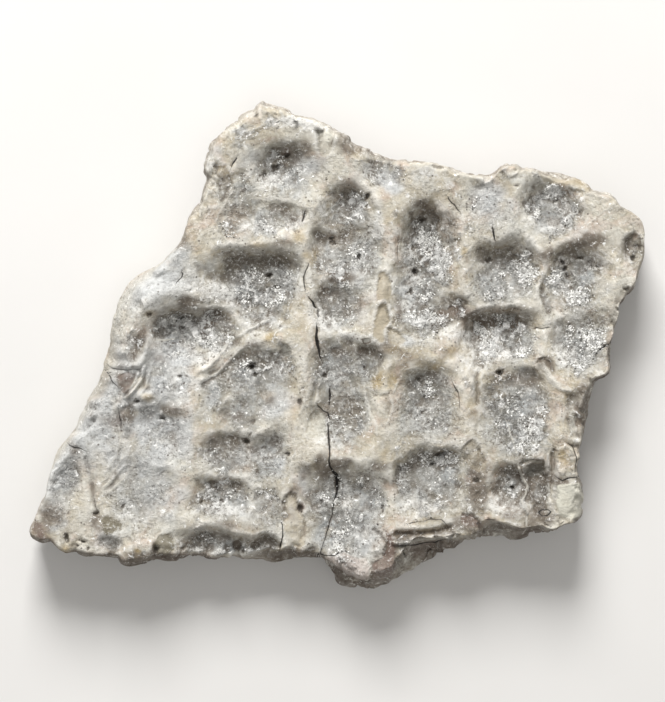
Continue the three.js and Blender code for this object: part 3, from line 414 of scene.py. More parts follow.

# ---- Stains, some of them painted shade and painted light: x, y, reach across, reach along, strength ----
STAINS = {
    "ochre": [
        (24.0, 4.8, 3.2, 0.7, 0.4), (30.0, 3.2, 1.0, 1.6, 0.8), (-5.6, 15.6, 1.2, 1.4, 0.7),
        (-3.6, 13.0, 1.2, 2.0, 0.9), (33.5, -16.8, 1.2, 1.5, 1.2), (20.6, -15.4, 1.2, 1.2, 0.35),
        (28.6, 5.8, 1.4, 1.1, 0.5), (-11.5, 14.4, 2.2, 0.9, 0.6), (-21.9, -26.1, 2.0, 1.4, 0.6),
        (-34.6, -16.5, 1.4, 1.4, 0.35), (18.0, 8.4, 1.4, 2.4, 0.7), (-2.8, 19.4, 0.9, 1.8, 0.7),
        (15.2, -3.5, 2.2, 0.8, 0.7), (-5.7, -11.6, 1.4, 2.8, 0.6), (-27.4, -8.2, 1.0, 0.9, 0.7),
        (3.4, -35.0, 1.2, 0.6, 1.0), (6.7, -16.4, 1.2, 1.4, 0.7), (-9.3, 0.9, 1.2, 0.6, 1.3),
        (9.0, -1.3, 3.2, 1.2, 0.5), (-6.3, -3.0, 1.2, 5.5, 0.35), (6.6, -5.3, 1.7, 2.0, 1.1),
        (8.4, -5.4, 0.7, 1.2, 0.7), (19.4, -10.0, 1.3, 6.0, 0.35), (33.4, -8.2, 1.0, 1.0, 0.8),
        (7.4, 16.0, 1.0, 7.0, 0.3), (-20.3, -5.5, 1.2, 5.0, 0.5), (17.6, -1.2, 2.0, 1.2, 0.7),
        (-30.9, 4.4, 0.8, 2.0, 0.6), (-27.1, 4.3, 0.8, 0.6, 0.8), (5.2, -13.6, 2.0, 1.4, 0.3),
        (-29.0, -30.2, 0.6, 0.5, 1.0), (20.4, -24.0, 1.4, 2.4, 0.3), (18.8, 13.0, 0.8, 1.1, 0.8),
        (-37.6, -22.6, 1.6, 2.0, 0.35), (14.6, -15.0, 1.8, 0.5, 0.7), (-39.6, -30.3, 1.9, 0.9, 1.0),
        (35.4, 23.4, 3.0, 1.0, 0.9), (3.0, 27.6, 1.6, 1.0, 0.5), (17.6, 15.6, 0.8, 1.4, 0.5),
        (-20.3, 7.2, 1.4, 0.8, 0.5), (-1.0, -27.6, 1.2, 0.8, 0.5),
    ],
    "rust": [
        (14.9, 3.7, 1.6, 0.9, 0.8), (-43.5, -27.6, 1.4, 1.3, 1.8), (-5.2, -24.2, 0.7, 1.0, 1.3),
        (-6.8, -25.6, 0.9, 0.7, 1.2), (-7.2, -24.5, 0.4, 0.7, 0.5), (-7.2, 28.2, 1.0, 0.9, 0.9),
        (-5.0, -6.8, 0.5, 0.6, 0.7), (-5.3, -8.6, 0.5, 0.8, 0.7), (6.9, -33.2, 1.8, 2.6, 0.8),
        (14.0, -30.4, 3.6, 1.2, 0.8), (-2.8, 11.6, 0.8, 0.8, 0.45), (9.0, 12.6, 0.4, 2.4, 0.6),
        (-1.6, 23.4, 1.0, 1.2, 0.35), (16.0, -15.9, 1.6, 0.5, 0.6), (19.9, -20.0, 1.2, 1.6, 0.6),
        (20.4, -26.4, 1.8, 1.0, 0.4), (34.6, 23.6, 1.8, 0.5, 0.6), (0.4, -9.6, 2.0, 2.2, 0.3),
        (38.2, 3.6, 1.8, 0.8, 0.5), (-32.2, -11.3, 1.4, 1.6, 0.6), (-29.4, -17.0, 0.9, 0.6, 0.5),
        (44.0, 15.4, 0.6, 0.8, 0.5), (7.0, -22.0, 0.8, 1.6, 0.35), (-13.0, -26.8, 0.9, 0.8, 0.35),
        (-35.2, -22.2, 0.6, 0.5, 0.6), (18.6, 4.6, 2.0, 1.0, 0.6),
    ],
    # dark brown spots: earth, and painted shade on walls, ledges and edges facing -Y
    "soil_and_shade": [
        (-34.1, -6.1, 1.0, 1.5, 0.9), (-35.5, -7.7, 1.1, 1.0, 0.9), (-29.2, -2.0, 1.2, 1.2, 1.5),
        (-28.3, 0.7, 1.0, 2.0, 1.5), (-24.1, -9.7, 1.8, 0.8, 1.2), (-30.7, -13.5, 1.0, 1.0, 0.6),
        (-28.7, -30.4, 1.6, 0.8, 0.6), (-26.8, -11.2, 1.4, 1.0, 0.6), (-21.6, -1.1, 1.2, 1.0, 0.8),
        (-35.5, -26.2, 0.9, 1.3, 1.2), (-34.0, -26.8, 1.2, 1.6, 1.0), (-30.7, -5.9, 1.3, 1.5, 1.5),
        (-31.9, -5.2, 1.4, 1.1, 0.7), (-42.3, -29.1, 1.7, 0.8, 1.4), (-36.1, -30.8, 2.3, 0.6, 1.3),
        (-32.2, -31.8, 2.6, 0.8, 1.6), (-29.0, -31.8, 6.0, 1.2, 1.2), (-27.0, -31.6, 1.6, 0.8, 0.7),
        (-35.4, -21.4, 0.6, 2.6, 0.7), (-32.2, 3.0, 1.1, 1.3, 1.0), (-32.3, -19.2, 1.0, 1.2, 0.6),
        (-25.5, -2.2, 1.4, 1.0, 0.7), (-21.7, 6.0, 2.2, 1.0, 1.3), (-38.0, -16.0, 1.1, 0.9, 1.0),
        (-39.1, -14.7, 1.2, 0.8, 0.5), (-41.7, -24.6, 1.7, 2.2, 1.5), (-21.0, -26.6, 1.6, 0.8, 0.5),
        (-33.8, -10.6, 2.6, 2.0, 0.6), (-30.4, -10.4, 1.0, 1.6, 0.8), (-26.6, -29.8, 0.5, 0.9, 0.9),
        (-31.3, -3.2, 1.0, 0.7, 0.4), (-22.6, -12.6, 0.9, 2.6, 0.5), (-24.1, -31.2, 1.4, 0.8, 1.0),
        (12.4, 20.7, 1.2, 0.9, 0.8), (-22.8, 15.0, 1.2, 1.6, 1.1), (-43.6, -27.8, 1.6, 0.9, 0.6),
        (-33.4, 0.0, 1.0, 1.6, 0.6), (-3.2, 3.7, 0.8, 1.2, 0.5), (-4.4, -19.4, 1.0, 1.3, 1.0),
        (-1.7, -18.0, 1.1, 1.8, 2.0), (0.7, -17.6, 1.4, 1.0, 1.8), (6.3, -18.1, 1.6, 0.9, 1.6),
        (12.6, 6.3, 1.4, 0.9, 0.5), (14.9, 3.6, 1.5, 1.0, 2.2), (-10.4, 6.3, 1.4, 1.0, 0.5),
        (-9.2, -8.6, 1.3, 1.0, 0.9), (7.6, -8.2, 0.8, 1.6, 0.5), (9.9, -25.7, 1.6, 0.8, 0.4),
        (-15.6, -1.0, 1.0, 1.0, 0.4), (-13.2, -1.9, 2.2, 0.7, 0.7), (-12.5, 0.0, 3.0, 0.8, 0.7),
        (-2.9, -11.9, 0.9, 1.3, 0.9), (-18.7, 2.0, 1.4, 1.2, 1.7), (-18.5, 3.6, 1.8, 1.2, 0.5),
        (8.1, -30.0, 0.9, 1.0, 0.7), (1.8, -1.1, 2.6, 0.8, 1.4), (9.0, 4.8, 0.8, 1.6, 1.0),
        (0.7, 9.6, 2.2, 0.9, 1.5), (-6.0, -21.8, 0.9, 1.2, 1.0), (-30.0, -9.9, 1.0, 1.2, 0.8),
        (12.8, 4.6, 0.9, 1.0, 1.0), (-3.4, 8.8, 0.8, 1.2, 0.6), (7.1, 0.3, 0.9, 1.0, 0.6),
        (-8.1, 14.5, 2.4, 0.7, 1.0), (-5.4, -31.4, 2.6, 1.1, 2.8), (-7.4, -31.2, 4.0, 0.9, 1.4),
        (-16.1, 23.3, 1.1, 2.0, 0.9), (-13.4, 9.9, 2.0, 1.4, 0.6), (3.3, 28.6, 1.9, 1.1, 1.6),
        (5.2, 28.9, 2.4, 1.0, 0.7), (1.3, 29.4, 1.2, 1.2, 0.7), (0.5, -34.1, 1.6, 1.0, 2.2),
        (-0.8, -32.7, 0.9, 0.9, 1.0), (1.4, -35.0, 3.0, 0.7, 0.8), (10.4, -28.6, 2.2, 0.9, 1.7),
        (12.2, -27.8, 3.4, 0.6, 1.2), (-2.0, 28.1, 1.2, 1.3, 1.3), (-4.3, 28.4, 0.8, 1.4, 0.9),
        (-9.0, 29.4, 4.0, 0.8, 0.5), (-11.2, 29.4, 1.6, 0.8, 0.8), (-7.8, 20.2, 1.2, 0.9, 0.9),
        (-17.3, 4.5, 2.6, 0.8, 0.9), (-2.6, 16.6, 1.6, 2.4, 0.45), (8.3, -1.3, 3.2, 1.2, 0.8),
        (10.4, -2.4, 1.6, 0.9, 1.0), (-17.6, -21.0, 2.6, 0.9, 0.5), (-17.9, -15.9, 1.0, 1.4, 0.5),
        (-12.0, -28.4, 1.8, 0.5, 0.6), (-13.8, -11.0, 2.2, 1.2, 0.8), (-14.2, -12.9, 2.4, 0.9, 0.5),
        (-15.3, -26.6, 2.0, 0.8, 0.9), (6.8, 27.2, 2.0, 0.9, 1.0), (7.6, -31.0, 1.8, 2.0, 0.8),
        (-6.2, -25.1, 0.8, 1.0, 0.5), (20.7, -22.0, 1.3, 4.4, 1.4), (20.4, -17.4, 1.6, 3.0, 0.4),
        (22.5, -18.2, 0.9, 1.2, 1.1), (19.2, -23.4, 0.8, 1.6, 0.4), (21.8, -23.8, 0.8, 1.2, 0.5),
        (25.7, -25.1, 2.0, 1.0, 1.8), (27.5, -18.3, 1.3, 1.4, 1.8), (24.4, 3.1, 3.1, 0.9, 2.2),
        (29.0, -12.2, 0.9, 1.6, 2.2), (21.5, 1.3, 0.8, 1.3, 1.3), (28.3, -21.9, 1.0, 1.6, 1.3),
        (27.0, -5.3, 2.5, 0.9, 1.3), (14.5, 14.0, 1.2, 1.3, 2.8), (43.8, 11.2, 0.8, 1.2, 0.5),
        (29.1, -26.4, 1.2, 1.0, 1.1), (27.6, -27.3, 1.6, 0.9, 1.4), (25.6, -27.8, 5.0, 0.8, 0.3),
        (31.3, -25.6, 1.3, 1.1, 0.9), (29.4, -24.9, 1.3, 1.8, 0.7), (31.8, -23.5, 0.6, 1.0, 0.5),
        (16.4, -1.2, 1.4, 0.8, 0.8), (42.1, 13.8, 1.0, 1.3, 1.3), (30.5, -2.9, 1.4, 0.9, 1.5),
        (19.7, 11.8, 0.9, 1.3, 1.0), (20.2, -10.6, 1.0, 1.9, 1.0), (32.7, -20.0, 1.4, 0.8, 2.4),
        (29.2, -20.0, 1.2, 1.2, 0.6), (36.1, -8.8, 1.2, 3.4, 1.7), (37.0, -7.0, 0.8, 1.6, 0.5),
        (36.6, -12.0, 0.4, 1.6, 0.5), (19.2, -14.4, 1.0, 0.8, 0.5), (18.3, 4.6, 2.4, 1.3, 1.5),
        (17.4, 6.4, 2.4, 0.7, 0.4), (30.6, 13.2, 1.1, 1.4, 1.5), (14.0, -31.0, 5.0, 1.2, 0.3),
        (18.4, -27.2, 2.4, 1.3, 1.0), (18.0, -26.0, 2.0, 1.2, 0.6), (16.5, -29.8, 2.4, 1.0, 0.8),
        (41.0, 5.5, 1.2, 2.5, 0.5), (38.0, 4.2, 2.5, 1.2, 0.5), (31.6, -4.3, 1.0, 0.8, 0.6),
        (36.9, 14.9, 2.2, 1.0, 2.4), (31.2, -18.4, 0.7, 1.8, 0.9), (27.2, 5.2, 2.0, 0.7, 0.9),
        (39.3, 8.8, 1.0, 1.2, 0.9), (20.1, -4.6, 0.9, 1.2, 1.0),
    ],
    # pale spots: frosted crust, and painted light where a slope or an edge is lit
    "frost_and_light": [
        (-1.8, 19.6, 0.9, 1.6, 1.0), (-27.4, 6.0, 1.8, 1.0, 1.0), (-28.0, 6.0, 6.0, 4.0, 0.4),
        (-29.6, 7.8, 2.2, 1.6, 0.5), (2.0, -22.9, 2.2, 1.4, 1.2), (-3.2, -23.7, 1.2, 1.4, 0.6),
        (6.3, -21.0, 1.0, 1.2, 0.9), (34.3, 21.9, 1.2, 0.7, 0.6), (15.4, -9.4, 1.0, 1.6, 0.6),
        (-19.4, -30.6, 1.3, 0.8, 1.1), (34.3, 17.4, 1.2, 1.0, 1.0), (17.4, 23.2, 1.4, 0.9, 1.0),
        (0.9, -32.0, 1.6, 1.0, 1.7), (-9.0, -13.7, 1.4, 0.8, 1.1), (11.0, 11.5, 1.2, 1.4, 0.6),
        (8.8, -34.2, 1.4, 1.2, 1.6), (-34.6, -11.5, 1.2, 1.0, 1.5), (2.4, 23.7, 1.6, 0.8, 0.7),
        (-41.5, -19.5, 1.2, 1.6, 2.4), (13.0, 24.5, 2.4, 1.0, 1.3), (-4.6, 32.1, 3.2, 0.8, 2.4),
        (-2.6, 31.7, 1.6, 0.8, 1.6), (34.9, 19.9, 1.4, 1.0, 1.0), (37.8, 12.0, 1.4, 1.2, 0.9),
        (13.2, -24.7, 2.0, 1.0, 0.8), (2.1, 0.9, 1.6, 0.8, 1.9), (-6.0, 18.2, 1.0, 1.0, 0.5),
        (-9.6, -25.4, 1.0, 1.4, 0.6), (10.1, 20.1, 1.0, 2.0, 0.6), (32.6, 17.8, 1.9, 1.3, 0.7),
        (39.5, 12.1, 1.2, 2.2, 1.0), (28.7, -15.5, 1.7, 0.9, 0.9), (-16.9, 9.7, 1.2, 0.9, 0.5),
        (-14.3, 31.1, 1.6, 0.8, 1.6), (-8.6, 32.5, 2.6, 0.8, 1.0), (-20.3, 10.9, 1.8, 1.2, 0.6),
        (4.0, 11.4, 1.6, 1.4, 0.6), (3.0, 13.2, 1.8, 2.0, 0.9), (-11.4, 17.1, 2.2, 1.1, 1.3),
        (-3.3, 13.6, 1.0, 1.4, 1.6), (33.2, 8.4, 1.3, 1.2, 1.0), (23.1, -14.4, 1.2, 1.2, 0.6),
        (5.9, 16.4, 1.2, 1.9, 1.6), (-13.6, -31.4, 2.6, 0.8, 1.6), (-11.2, -31.4, 1.5, 0.9, 1.3),
        (-33.2, -29.4, 2.0, 1.0, 1.4), (-18.4, 26.4, 0.9, 1.4, 1.4), (10.3, -32.7, 2.4, 1.2, 1.3),
        (24.6, -27.9, 1.4, 0.7, 0.8), (-18.4, -4.4, 1.0, 1.0, 0.6), (32.2, 2.5, 1.4, 1.0, 0.6),
        (34.6, 3.8, 1.2, 0.8, 0.6), (32.7, 12.2, 0.9, 0.9, 1.0), (-13.4, 14.3, 2.0, 0.8, 0.5),
        (25.0, 21.0, 1.2, 1.6, 0.4), (10.9, 9.0, 1.6, 1.4, 0.5), (-9.0, -21.6, 1.6, 0.9, 0.6),
        (3.5, -34.0, 1.6, 0.8, 0.7), (-10.1, 3.2, 1.6, 0.8, 0.7), (-0.8, -30.6, 1.4, 1.0, 0.6),
        (-23.8, -5.6, 2.6, 2.6, 0.6), (-22.0, -6.0, 5.0, 8.0, 0.3), (2.4, 19.4, 1.6, 1.4, 0.5),
        (35.2, -23.4, 1.6, 2.2, 0.4), (-9.0, 24.1, 2.4, 1.4, 1.3), (-12.4, 24.4, 3.0, 1.0, 0.6),
        (22.0, 22.2, 1.8, 1.3, 0.9), (-32.0, -17.2, 2.4, 2.4, 0.6), (-24.8, -15.5, 2.4, 1.8, 0.9),
        (18.1, 1.7, 2.1, 1.1, 1.2), (28.2, 24.2, 1.4, 1.2, 0.4), (-3.2, 6.6, 0.8, 1.4, 0.4),
        (-31.0, -24.0, 2.4, 2.0, 0.4), (-17.0, -24.2, 3.4, 1.0, 0.8), (-1.6, 1.6, 3.0, 1.4, 0.4),
        (33.4, -1.6, 1.8, 1.0, 0.7), (23.0, -1.4, 2.6, 1.0, 0.7), (17.0, 12.4, 1.2, 2.2, 0.6),
        (-6.0, 8.0, 1.4, 2.4, 1.1), (-19.6, -5.7, 0.9, 1.4, 0.9), (23.4, 7.4, 1.6, 0.9, 1.0),
        (-5.0, 19.0, 1.0, 1.2, 0.8), (10.4, -13.8, 1.4, 0.8, 0.6), (11.6, -10.6, 2.4, 0.8, 0.6),
        (-33.0, -14.0, 5.0, 6.0, 0.4), (-27.0, -24.0, 8.0, 5.0, 0.35), (-37.6, -12.6, 2.4, 0.9, 0.6),
        (-2.0, -24.0, 2.0, 4.0, 0.3), (30.4, 20.6, 0.7, 1.2, 0.7), (11.8, -16.9, 1.4, 0.8, 0.8),
        (9.9, -19.9, 1.4, 1.0, 0.7), (-14.7, 6.3, 1.2, 0.9, 0.6),
    ],
    "ash": [
        (8.2, 22.8, 2.2, 1.1, 1.1), (7.4, 24.8, 2.4, 1.6, 0.6), (-7.8, -17.4, 1.2, 1.4, 0.6),
        (-34.7, -5.7, 1.6, 2.6, 2.2), (-33.6, -4.4, 2.4, 5.0, 0.8), (-33.0, -8.0, 6.0, 10.0, 1.0),
        (5.9, 19.0, 0.9, 1.8, 0.7), (-7.9, 2.2, 1.4, 0.8, 0.6), (-12.9, 33.5, 1.6, 0.9, 0.6),
        (-4.6, -20.4, 1.4, 2.4, 0.8), (-41.0, -26.4, 1.4, 1.2, 0.8), (10.2, 0.3, 1.3, 1.1, 1.3),
        (20.6, 11.0, 0.9, 1.8, 0.8), (-40.3, -16.8, 1.9, 2.6, 1.6), (-30.0, 9.0, 3.0, 3.0, 0.8),
        (-27.0, 9.0, 6.0, 4.0, 1.0), (36.0, 16.2, 2.1, 1.8, 1.1), (4.0, 4.5, 1.8, 1.8, 1.1),
        (-24.6, -23.5, 3.0, 3.0, 0.8), (-23.5, 12.5, 3.0, 3.0, 0.9), (-23.8, -2.6, 4.0, 5.0, 1.3),
        (-24.0, -13.0, 6.0, 5.0, 0.9), (-38.0, -12.0, 4.0, 4.0, 1.0), (-42.0, -21.0, 4.0, 5.0, 0.9),
        (23.0, 20.5, 3.5, 4.0, 1.0), (-8.5, -9.4, 3.5, 2.5, 0.9), (-3.5, 26.2, 2.5, 2.5, 0.8),
        (-12.5, 26.5, 3.0, 2.5, 0.7), (4.7, -29.3, 3.0, 4.0, 0.8), (-12.0, -24.6, 4.0, 3.0, 0.6),
        (-34.0, -28.0, 4.0, 3.0, 0.6), (-12.5, -17.4, 5.0, 2.5, 0.6), (-28.0, -20.0, 6.0, 5.0, 0.5),
        (29.3, -22.2, 1.4, 1.6, 0.6), (-17.6, 28.2, 1.4, 1.2, 0.7), (-5.4, 21.8, 1.2, 1.4, 0.7),
    ],
    "rough": [
        (20.2, -17.4, 1.8, 3.0, 0.8), (33.7, -16.8, 1.8, 2.6, 0.9), (25.4, -25.2, 2.4, 1.6, 0.4),
        (-33.0, -9.4, 2.4, 3.0, 0.7), (-16.2, 23.4, 1.6, 3.0, 0.9), (-34.4, -10.8, 2.8, 2.8, 0.9),
        (12.0, -31.0, 6.0, 2.2, 1.0), (6.6, -33.0, 2.6, 2.6, 1.0), (2.4, -32.6, 3.0, 1.6, 0.8),
        (36.8, -10.0, 1.0, 4.0, 1.0), (20.4, -22.0, 1.8, 3.8, 0.7), (31.0, -24.6, 1.6, 2.0, 0.7),
        (30.6, -20.0, 1.6, 2.2, 0.6), (-31.0, 5.0, 2.4, 5.0, 0.5), (-41.5, -24.6, 1.8, 2.0, 0.6),
        (43.4, 13.6, 1.4, 2.6, 0.5), (17.6, 4.2, 2.6, 1.4, 0.5), (39.4, 3.4, 2.0, 1.4, 0.5),
        (-31.0, -30.6, 3.0, 1.2, 0.5), (1.4, -9.4, 3.0, 2.6, 0.5), (19.6, -28.0, 3.0, 0.9, 0.6),
        (27.0, -27.0, 3.0, 1.0, 0.5), (38.4, -5.8, 1.4, 1.2, 0.7), (-32.0, -11.0, 1.6, 3.0, 0.8),
    ],
}


# ---- Repeatable noise ----
PRIMES = np.array([73856093, 19349663, 83492791], np.uint32)
SEED_PRIME = 2654435761
LAYER_SHIFT = 17.3  # layers of noise are read this far apart, so that they don't line up


def mixed_bits(number):
    """The number's bits stirred: shifts xored in, with two odd multipliers between them."""
    number = (number ^ (number >> np.uint32(16))) * np.uint32(0x7FEB352D)
    number = (number ^ (number >> np.uint32(15))) * np.uint32(0x846CA68B)
    return number ^ (number >> np.uint32(16))


def lattice(cell, seed):
    """A number from 0 to 1 for each whole-number point: its indices times primes, xored, then stirred."""
    spread = cell.astype(np.int64).astype(np.uint32) * PRIMES
    number = np.bitwise_xor.reduce(spread, axis=-1) ^ np.uint32(seed * SEED_PRIME & 0xFFFFFFFF)
    return mixed_bits(number) / 2.0**32


def noise(points, size, seed=0):
    """Smooth noise from -1 to 1: lattice numbers a size apart, blended by 6t^5 - 15t^4 + 10t^3."""
    scaled = points / size
    cell = np.floor(scaled)
    t = scaled - cell
    t = t * t * t * (t * (t * 6 - 15) + 10)
    total = 0.0
    for corner in np.ndindex(2, 2, 2):
        corner = np.array(corner)
        weight = np.prod(np.where(corner == 1, t, 1 - t), axis=-1)
        total = total + weight * lattice(cell + corner, seed)
    return 2 * total - 1


def layered(points, size, layers, seed=0):
    """Noise layers, each half the size and strength of the one before, summed, over their total
    strength."""
    total, strength, sum_of_strengths = 0.0, 1.0, 0.0
    for layer in range(layers):
        total = total + strength * noise(points + LAYER_SHIFT * layer, size / 2**layer, seed + layer)
        sum_of_strengths += strength
        strength /= 2
    return total / sum_of_strengths


def ramp(start, end, value):
    """0 at start and 1 at end, with the smooth step 3t^2 - 2t^3 between. start may be the larger."""
    t = np.clip((value - start) / (end - start), 0, 1)
    return t * t * (3 - 2 * t)


def point3(x, y, z=0.0):
    """Arrays of x, y and z as one array of points."""
    return np.stack([x, y, np.zeros_like(x) + z], -1)


def terraces(value, count, riser):
    """A value cut into count levels for each whole step. A steep riser takes up a share of each level."""
    level = value * count
    whole = np.floor(level)
    return (whole + ramp(1 - riser, 1, level - whole)) / count


# ---- The outline and the patch over it ----
OUTLINE_SAMPLES = 1600
CURVE_STEPS = 24  # from one point of a side to the next
RIM_PULL = 9  # the higher, the nearer to the rim a face's grid is drawn in


def side(points):
    """A curve through the points at even steps of its length: uniform Catmull-Rom, with the ends
    doubled."""
    p = np.array(points, float)
    p = np.vstack([p[:1], p, p[-1:]])
    a, b, c, d = (p[i : len(p) - 3 + i, None, :] for i in range(4))
    t = np.linspace(0, 1, CURVE_STEPS, endpoint=False)[None, :, None]
    square, cube = 2 * a - 5 * b + 4 * c - d, 3 * b - a - 3 * c + d
    curve = 0.5 * (2 * b + (c - a) * t + square * t**2 + cube * t**3)
    line = np.vstack([curve.reshape(-1, 2), p[-1:]])
    length = np.concatenate([[0], np.cumsum(np.linalg.norm(np.diff(line, axis=0), axis=1))])
    even = np.linspace(0, length[-1], OUTLINE_SAMPLES + 1)
    return np.stack([np.interp(even, length, line[:, k]) for k in (0, 1)], 1)


BOTTOM, RIGHT, TOP, LEFT = side(BOTTOM_SIDE), side(RIGHT_SIDE), side(TOP_SIDE), side(LEFT_SIDE)


def along(curve, share):
    """The point at a share from 0 to 1 of a side's length."""
    at = np.linspace(0, 1, len(curve))
    return np.stack([np.interp(share, at, curve[:, k]) for k in (0, 1)], -1)


def patch(a, b):
    """Coons patch over the outline, a and b from -1 to 1: the blend of the bottom and top sides, plus the
    blend of the left and right sides, less the blend of the four corners."""
    u, v = (a + 1) / 2, (b + 1) / 2
    U, V = u[..., None], v[..., None]
    sides = (1 - V) * along(BOTTOM, u) + V * along(TOP, u) + (1 - U) * along(LEFT, v) + U * along(RIGHT, v)
    lower = (1 - U) * (1 - V) * BOTTOM[0] + U * (1 - V) * BOTTOM[-1]
    return sides - (lower + (1 - U) * V * TOP[0] + U * V * TOP[-1])


MIDDLE = patch(np.zeros(1), np.zeros(1))[0]


def share_inside(outline_point, distance):
    """1 less the distance over the way from the middle to the outline."""
    return 1 - distance / np.maximum(np.linalg.norm(outline_point - MIDDLE, axis=-1), 1e-6)


def outer_rounding(p):
    """How far inside a point of the outline the outer face begins: a steady amount plus the bevels' bell
    curves, made uneven by noise, with ragged bites along it."""
    rounding = np.full(p.shape[:-1], OUTER_ROUNDING)
    for x, y, reach, amount in BEVELS:
        rounding += amount * np.exp(-((p[..., 0] - x) ** 2 + (p[..., 1] - y) ** 2) / reach**2)
    flat = point3(p[..., 0], p[..., 1])
    bites = 0.45 * layered(flat, 5.0, 2, 101) + 0.5 * ramp(0.15, 0.5, layered(flat, 1.8, 3, 103))
    return rounding * (1 + 0.35 * layered(flat, 2.6, 2, 107)) + bites


def inner_rounding(p):
    """The same for the inner face: a steady amount."""
    return np.full(p.shape[:-1], INNER_ROUNDING + JOIN_WIDTH)


def face_grid(columns, rows, rounding):
    """Points of a face, rows by columns, with a and b: the patch, drawn in by 1 - (1 - s) m^pull, where m
    is the larger of |a| and |b| and s is the share at which the face's rim lies."""
    a, b = np.meshgrid(np.linspace(-1, 1, columns + 1), np.linspace(-1, 1, rows + 1))
    ring = np.maximum(np.maximum(np.abs(a), np.abs(b)), 1e-9)
    outline_point = patch(a / ring, b / ring)
    drawn = 1 - (1 - share_inside(outline_point, rounding(outline_point))) * ring**RIM_PULL
    return patch(a * drawn, b * drawn), a, b


# ---- Distances and outlines of features ----
def turned(x, y, cx, cy, half_width, half_height, turn):
    """x and y seen from a centre, turned back by an angle and divided by the half sizes."""
    angle = math.radians(turn)
    dx, dy = x - cx, y - cy
    px = (math.cos(angle) * dx + math.sin(angle) * dy) / half_width
    py = (math.cos(angle) * dy - math.sin(angle) * dx) / half_height
    return px, py


def rounded_box(px, py, squareness):
    """Superellipse: 1 on the outline of a box with round sides, less inside."""
    return (np.abs(px) ** squareness + np.abs(py) ** squareness) ** (1 / squareness) + 1e-6


def from_line(x, y, points):
    """Distance to the nearest point of a polyline, less than 0 on its right, and that point's third
    value."""
    nearest = np.full(x.shape, 1e3)
    side_of_line = np.ones(x.shape)
    value = np.zeros(x.shape)
    for start, end in zip(points[:-1], points[1:]):
        ex, ey = end[0] - start[0], end[1] - start[1]
        dx, dy = x - start[0], y - start[1]
        t = np.clip((dx * ex + dy * ey) / (ex * ex + ey * ey), 0, 1)
        distance = np.hypot(dx - t * ex, dy - t * ey)
        closer = distance < nearest
        nearest = np.where(closer, distance, nearest)
        side_of_line = np.where(closer, np.where(ex * dy - ey * dx < 0, -1.0, 1.0), side_of_line)
        if len(start) > 2:
            value = np.where(closer, start[2] + t * (end[2] - start[2]), value)
    return nearest * side_of_line, value


def from_outline(x, y, points):
    """Distance to a closed outline, less than 0 inside, where a ray crosses it an odd number of times."""
    distance, _ = from_line(x, y, points + points[:1])
    inside = np.zeros(x.shape, bool)
    for (ax, ay), (bx, by) in zip(points, points[1:] + points[:1]):
        if ay != by:
            inside ^= ((ay > y) != (by > y)) & (x < ax + (y - ay) * (bx - ax) / (by - ay))
    return np.where(inside, -np.abs(distance), np.abs(distance))


def near(x, y, points, margin=2.0):
    """Which points lie within a margin of the box round a feature's points."""
    xs, ys = [p[0] for p in points], [p[1] for p in points]
    return (x > min(xs) - margin) & (x < max(xs) + margin) & (y > min(ys) - margin) & (y < max(ys) + margin)


def spots(x, y, table):
    """Sum of soft spots: strength times exp(-(dx^2 / across^2 + dy^2 / along^2))."""
    total = np.zeros_like(x)
    for cx, cy, across, along_y, strength in table:
        total += strength * np.exp(-(((x - cx) / across) ** 2) - ((y - cy) / along_y) ** 2)
    return total


def wander(x, y, amount, size, seed):
    """x and y moved by noise: an amount in millimetres, with blobs of a size."""
    flat = point3(x, y)
    return x + amount * layered(flat, size, 3, seed), y + amount * layered(flat, size, 3, seed + 50)


def blurred(grid, passes):
    """Each pass averages a point with its neighbours, 1 2 1, first along columns and then along rows."""
    for _ in range(passes):
        p = np.pad(grid, ((1, 1), (0, 0)), mode="edge")
        grid = (p[:-2] + 2 * p[1:-1] + p[2:]) / 4
        p = np.pad(grid, ((0, 0), (1, 1)), mode="edge")
        grid = (p[:, :-2] + 2 * p[:, 1:-1] + p[:, 2:]) / 4
    return grid


# ---- The outer face ----
FLAKE_KINDS = ("tan", "grey", "green", "pink", "mudstone")
FAR = 2.0  # millimetres, for points that no line, flake or pore is near
CLOSE_BLUR, SLOPE_BLUR, WIDE_BLUR = 8, 14, 60  # passes


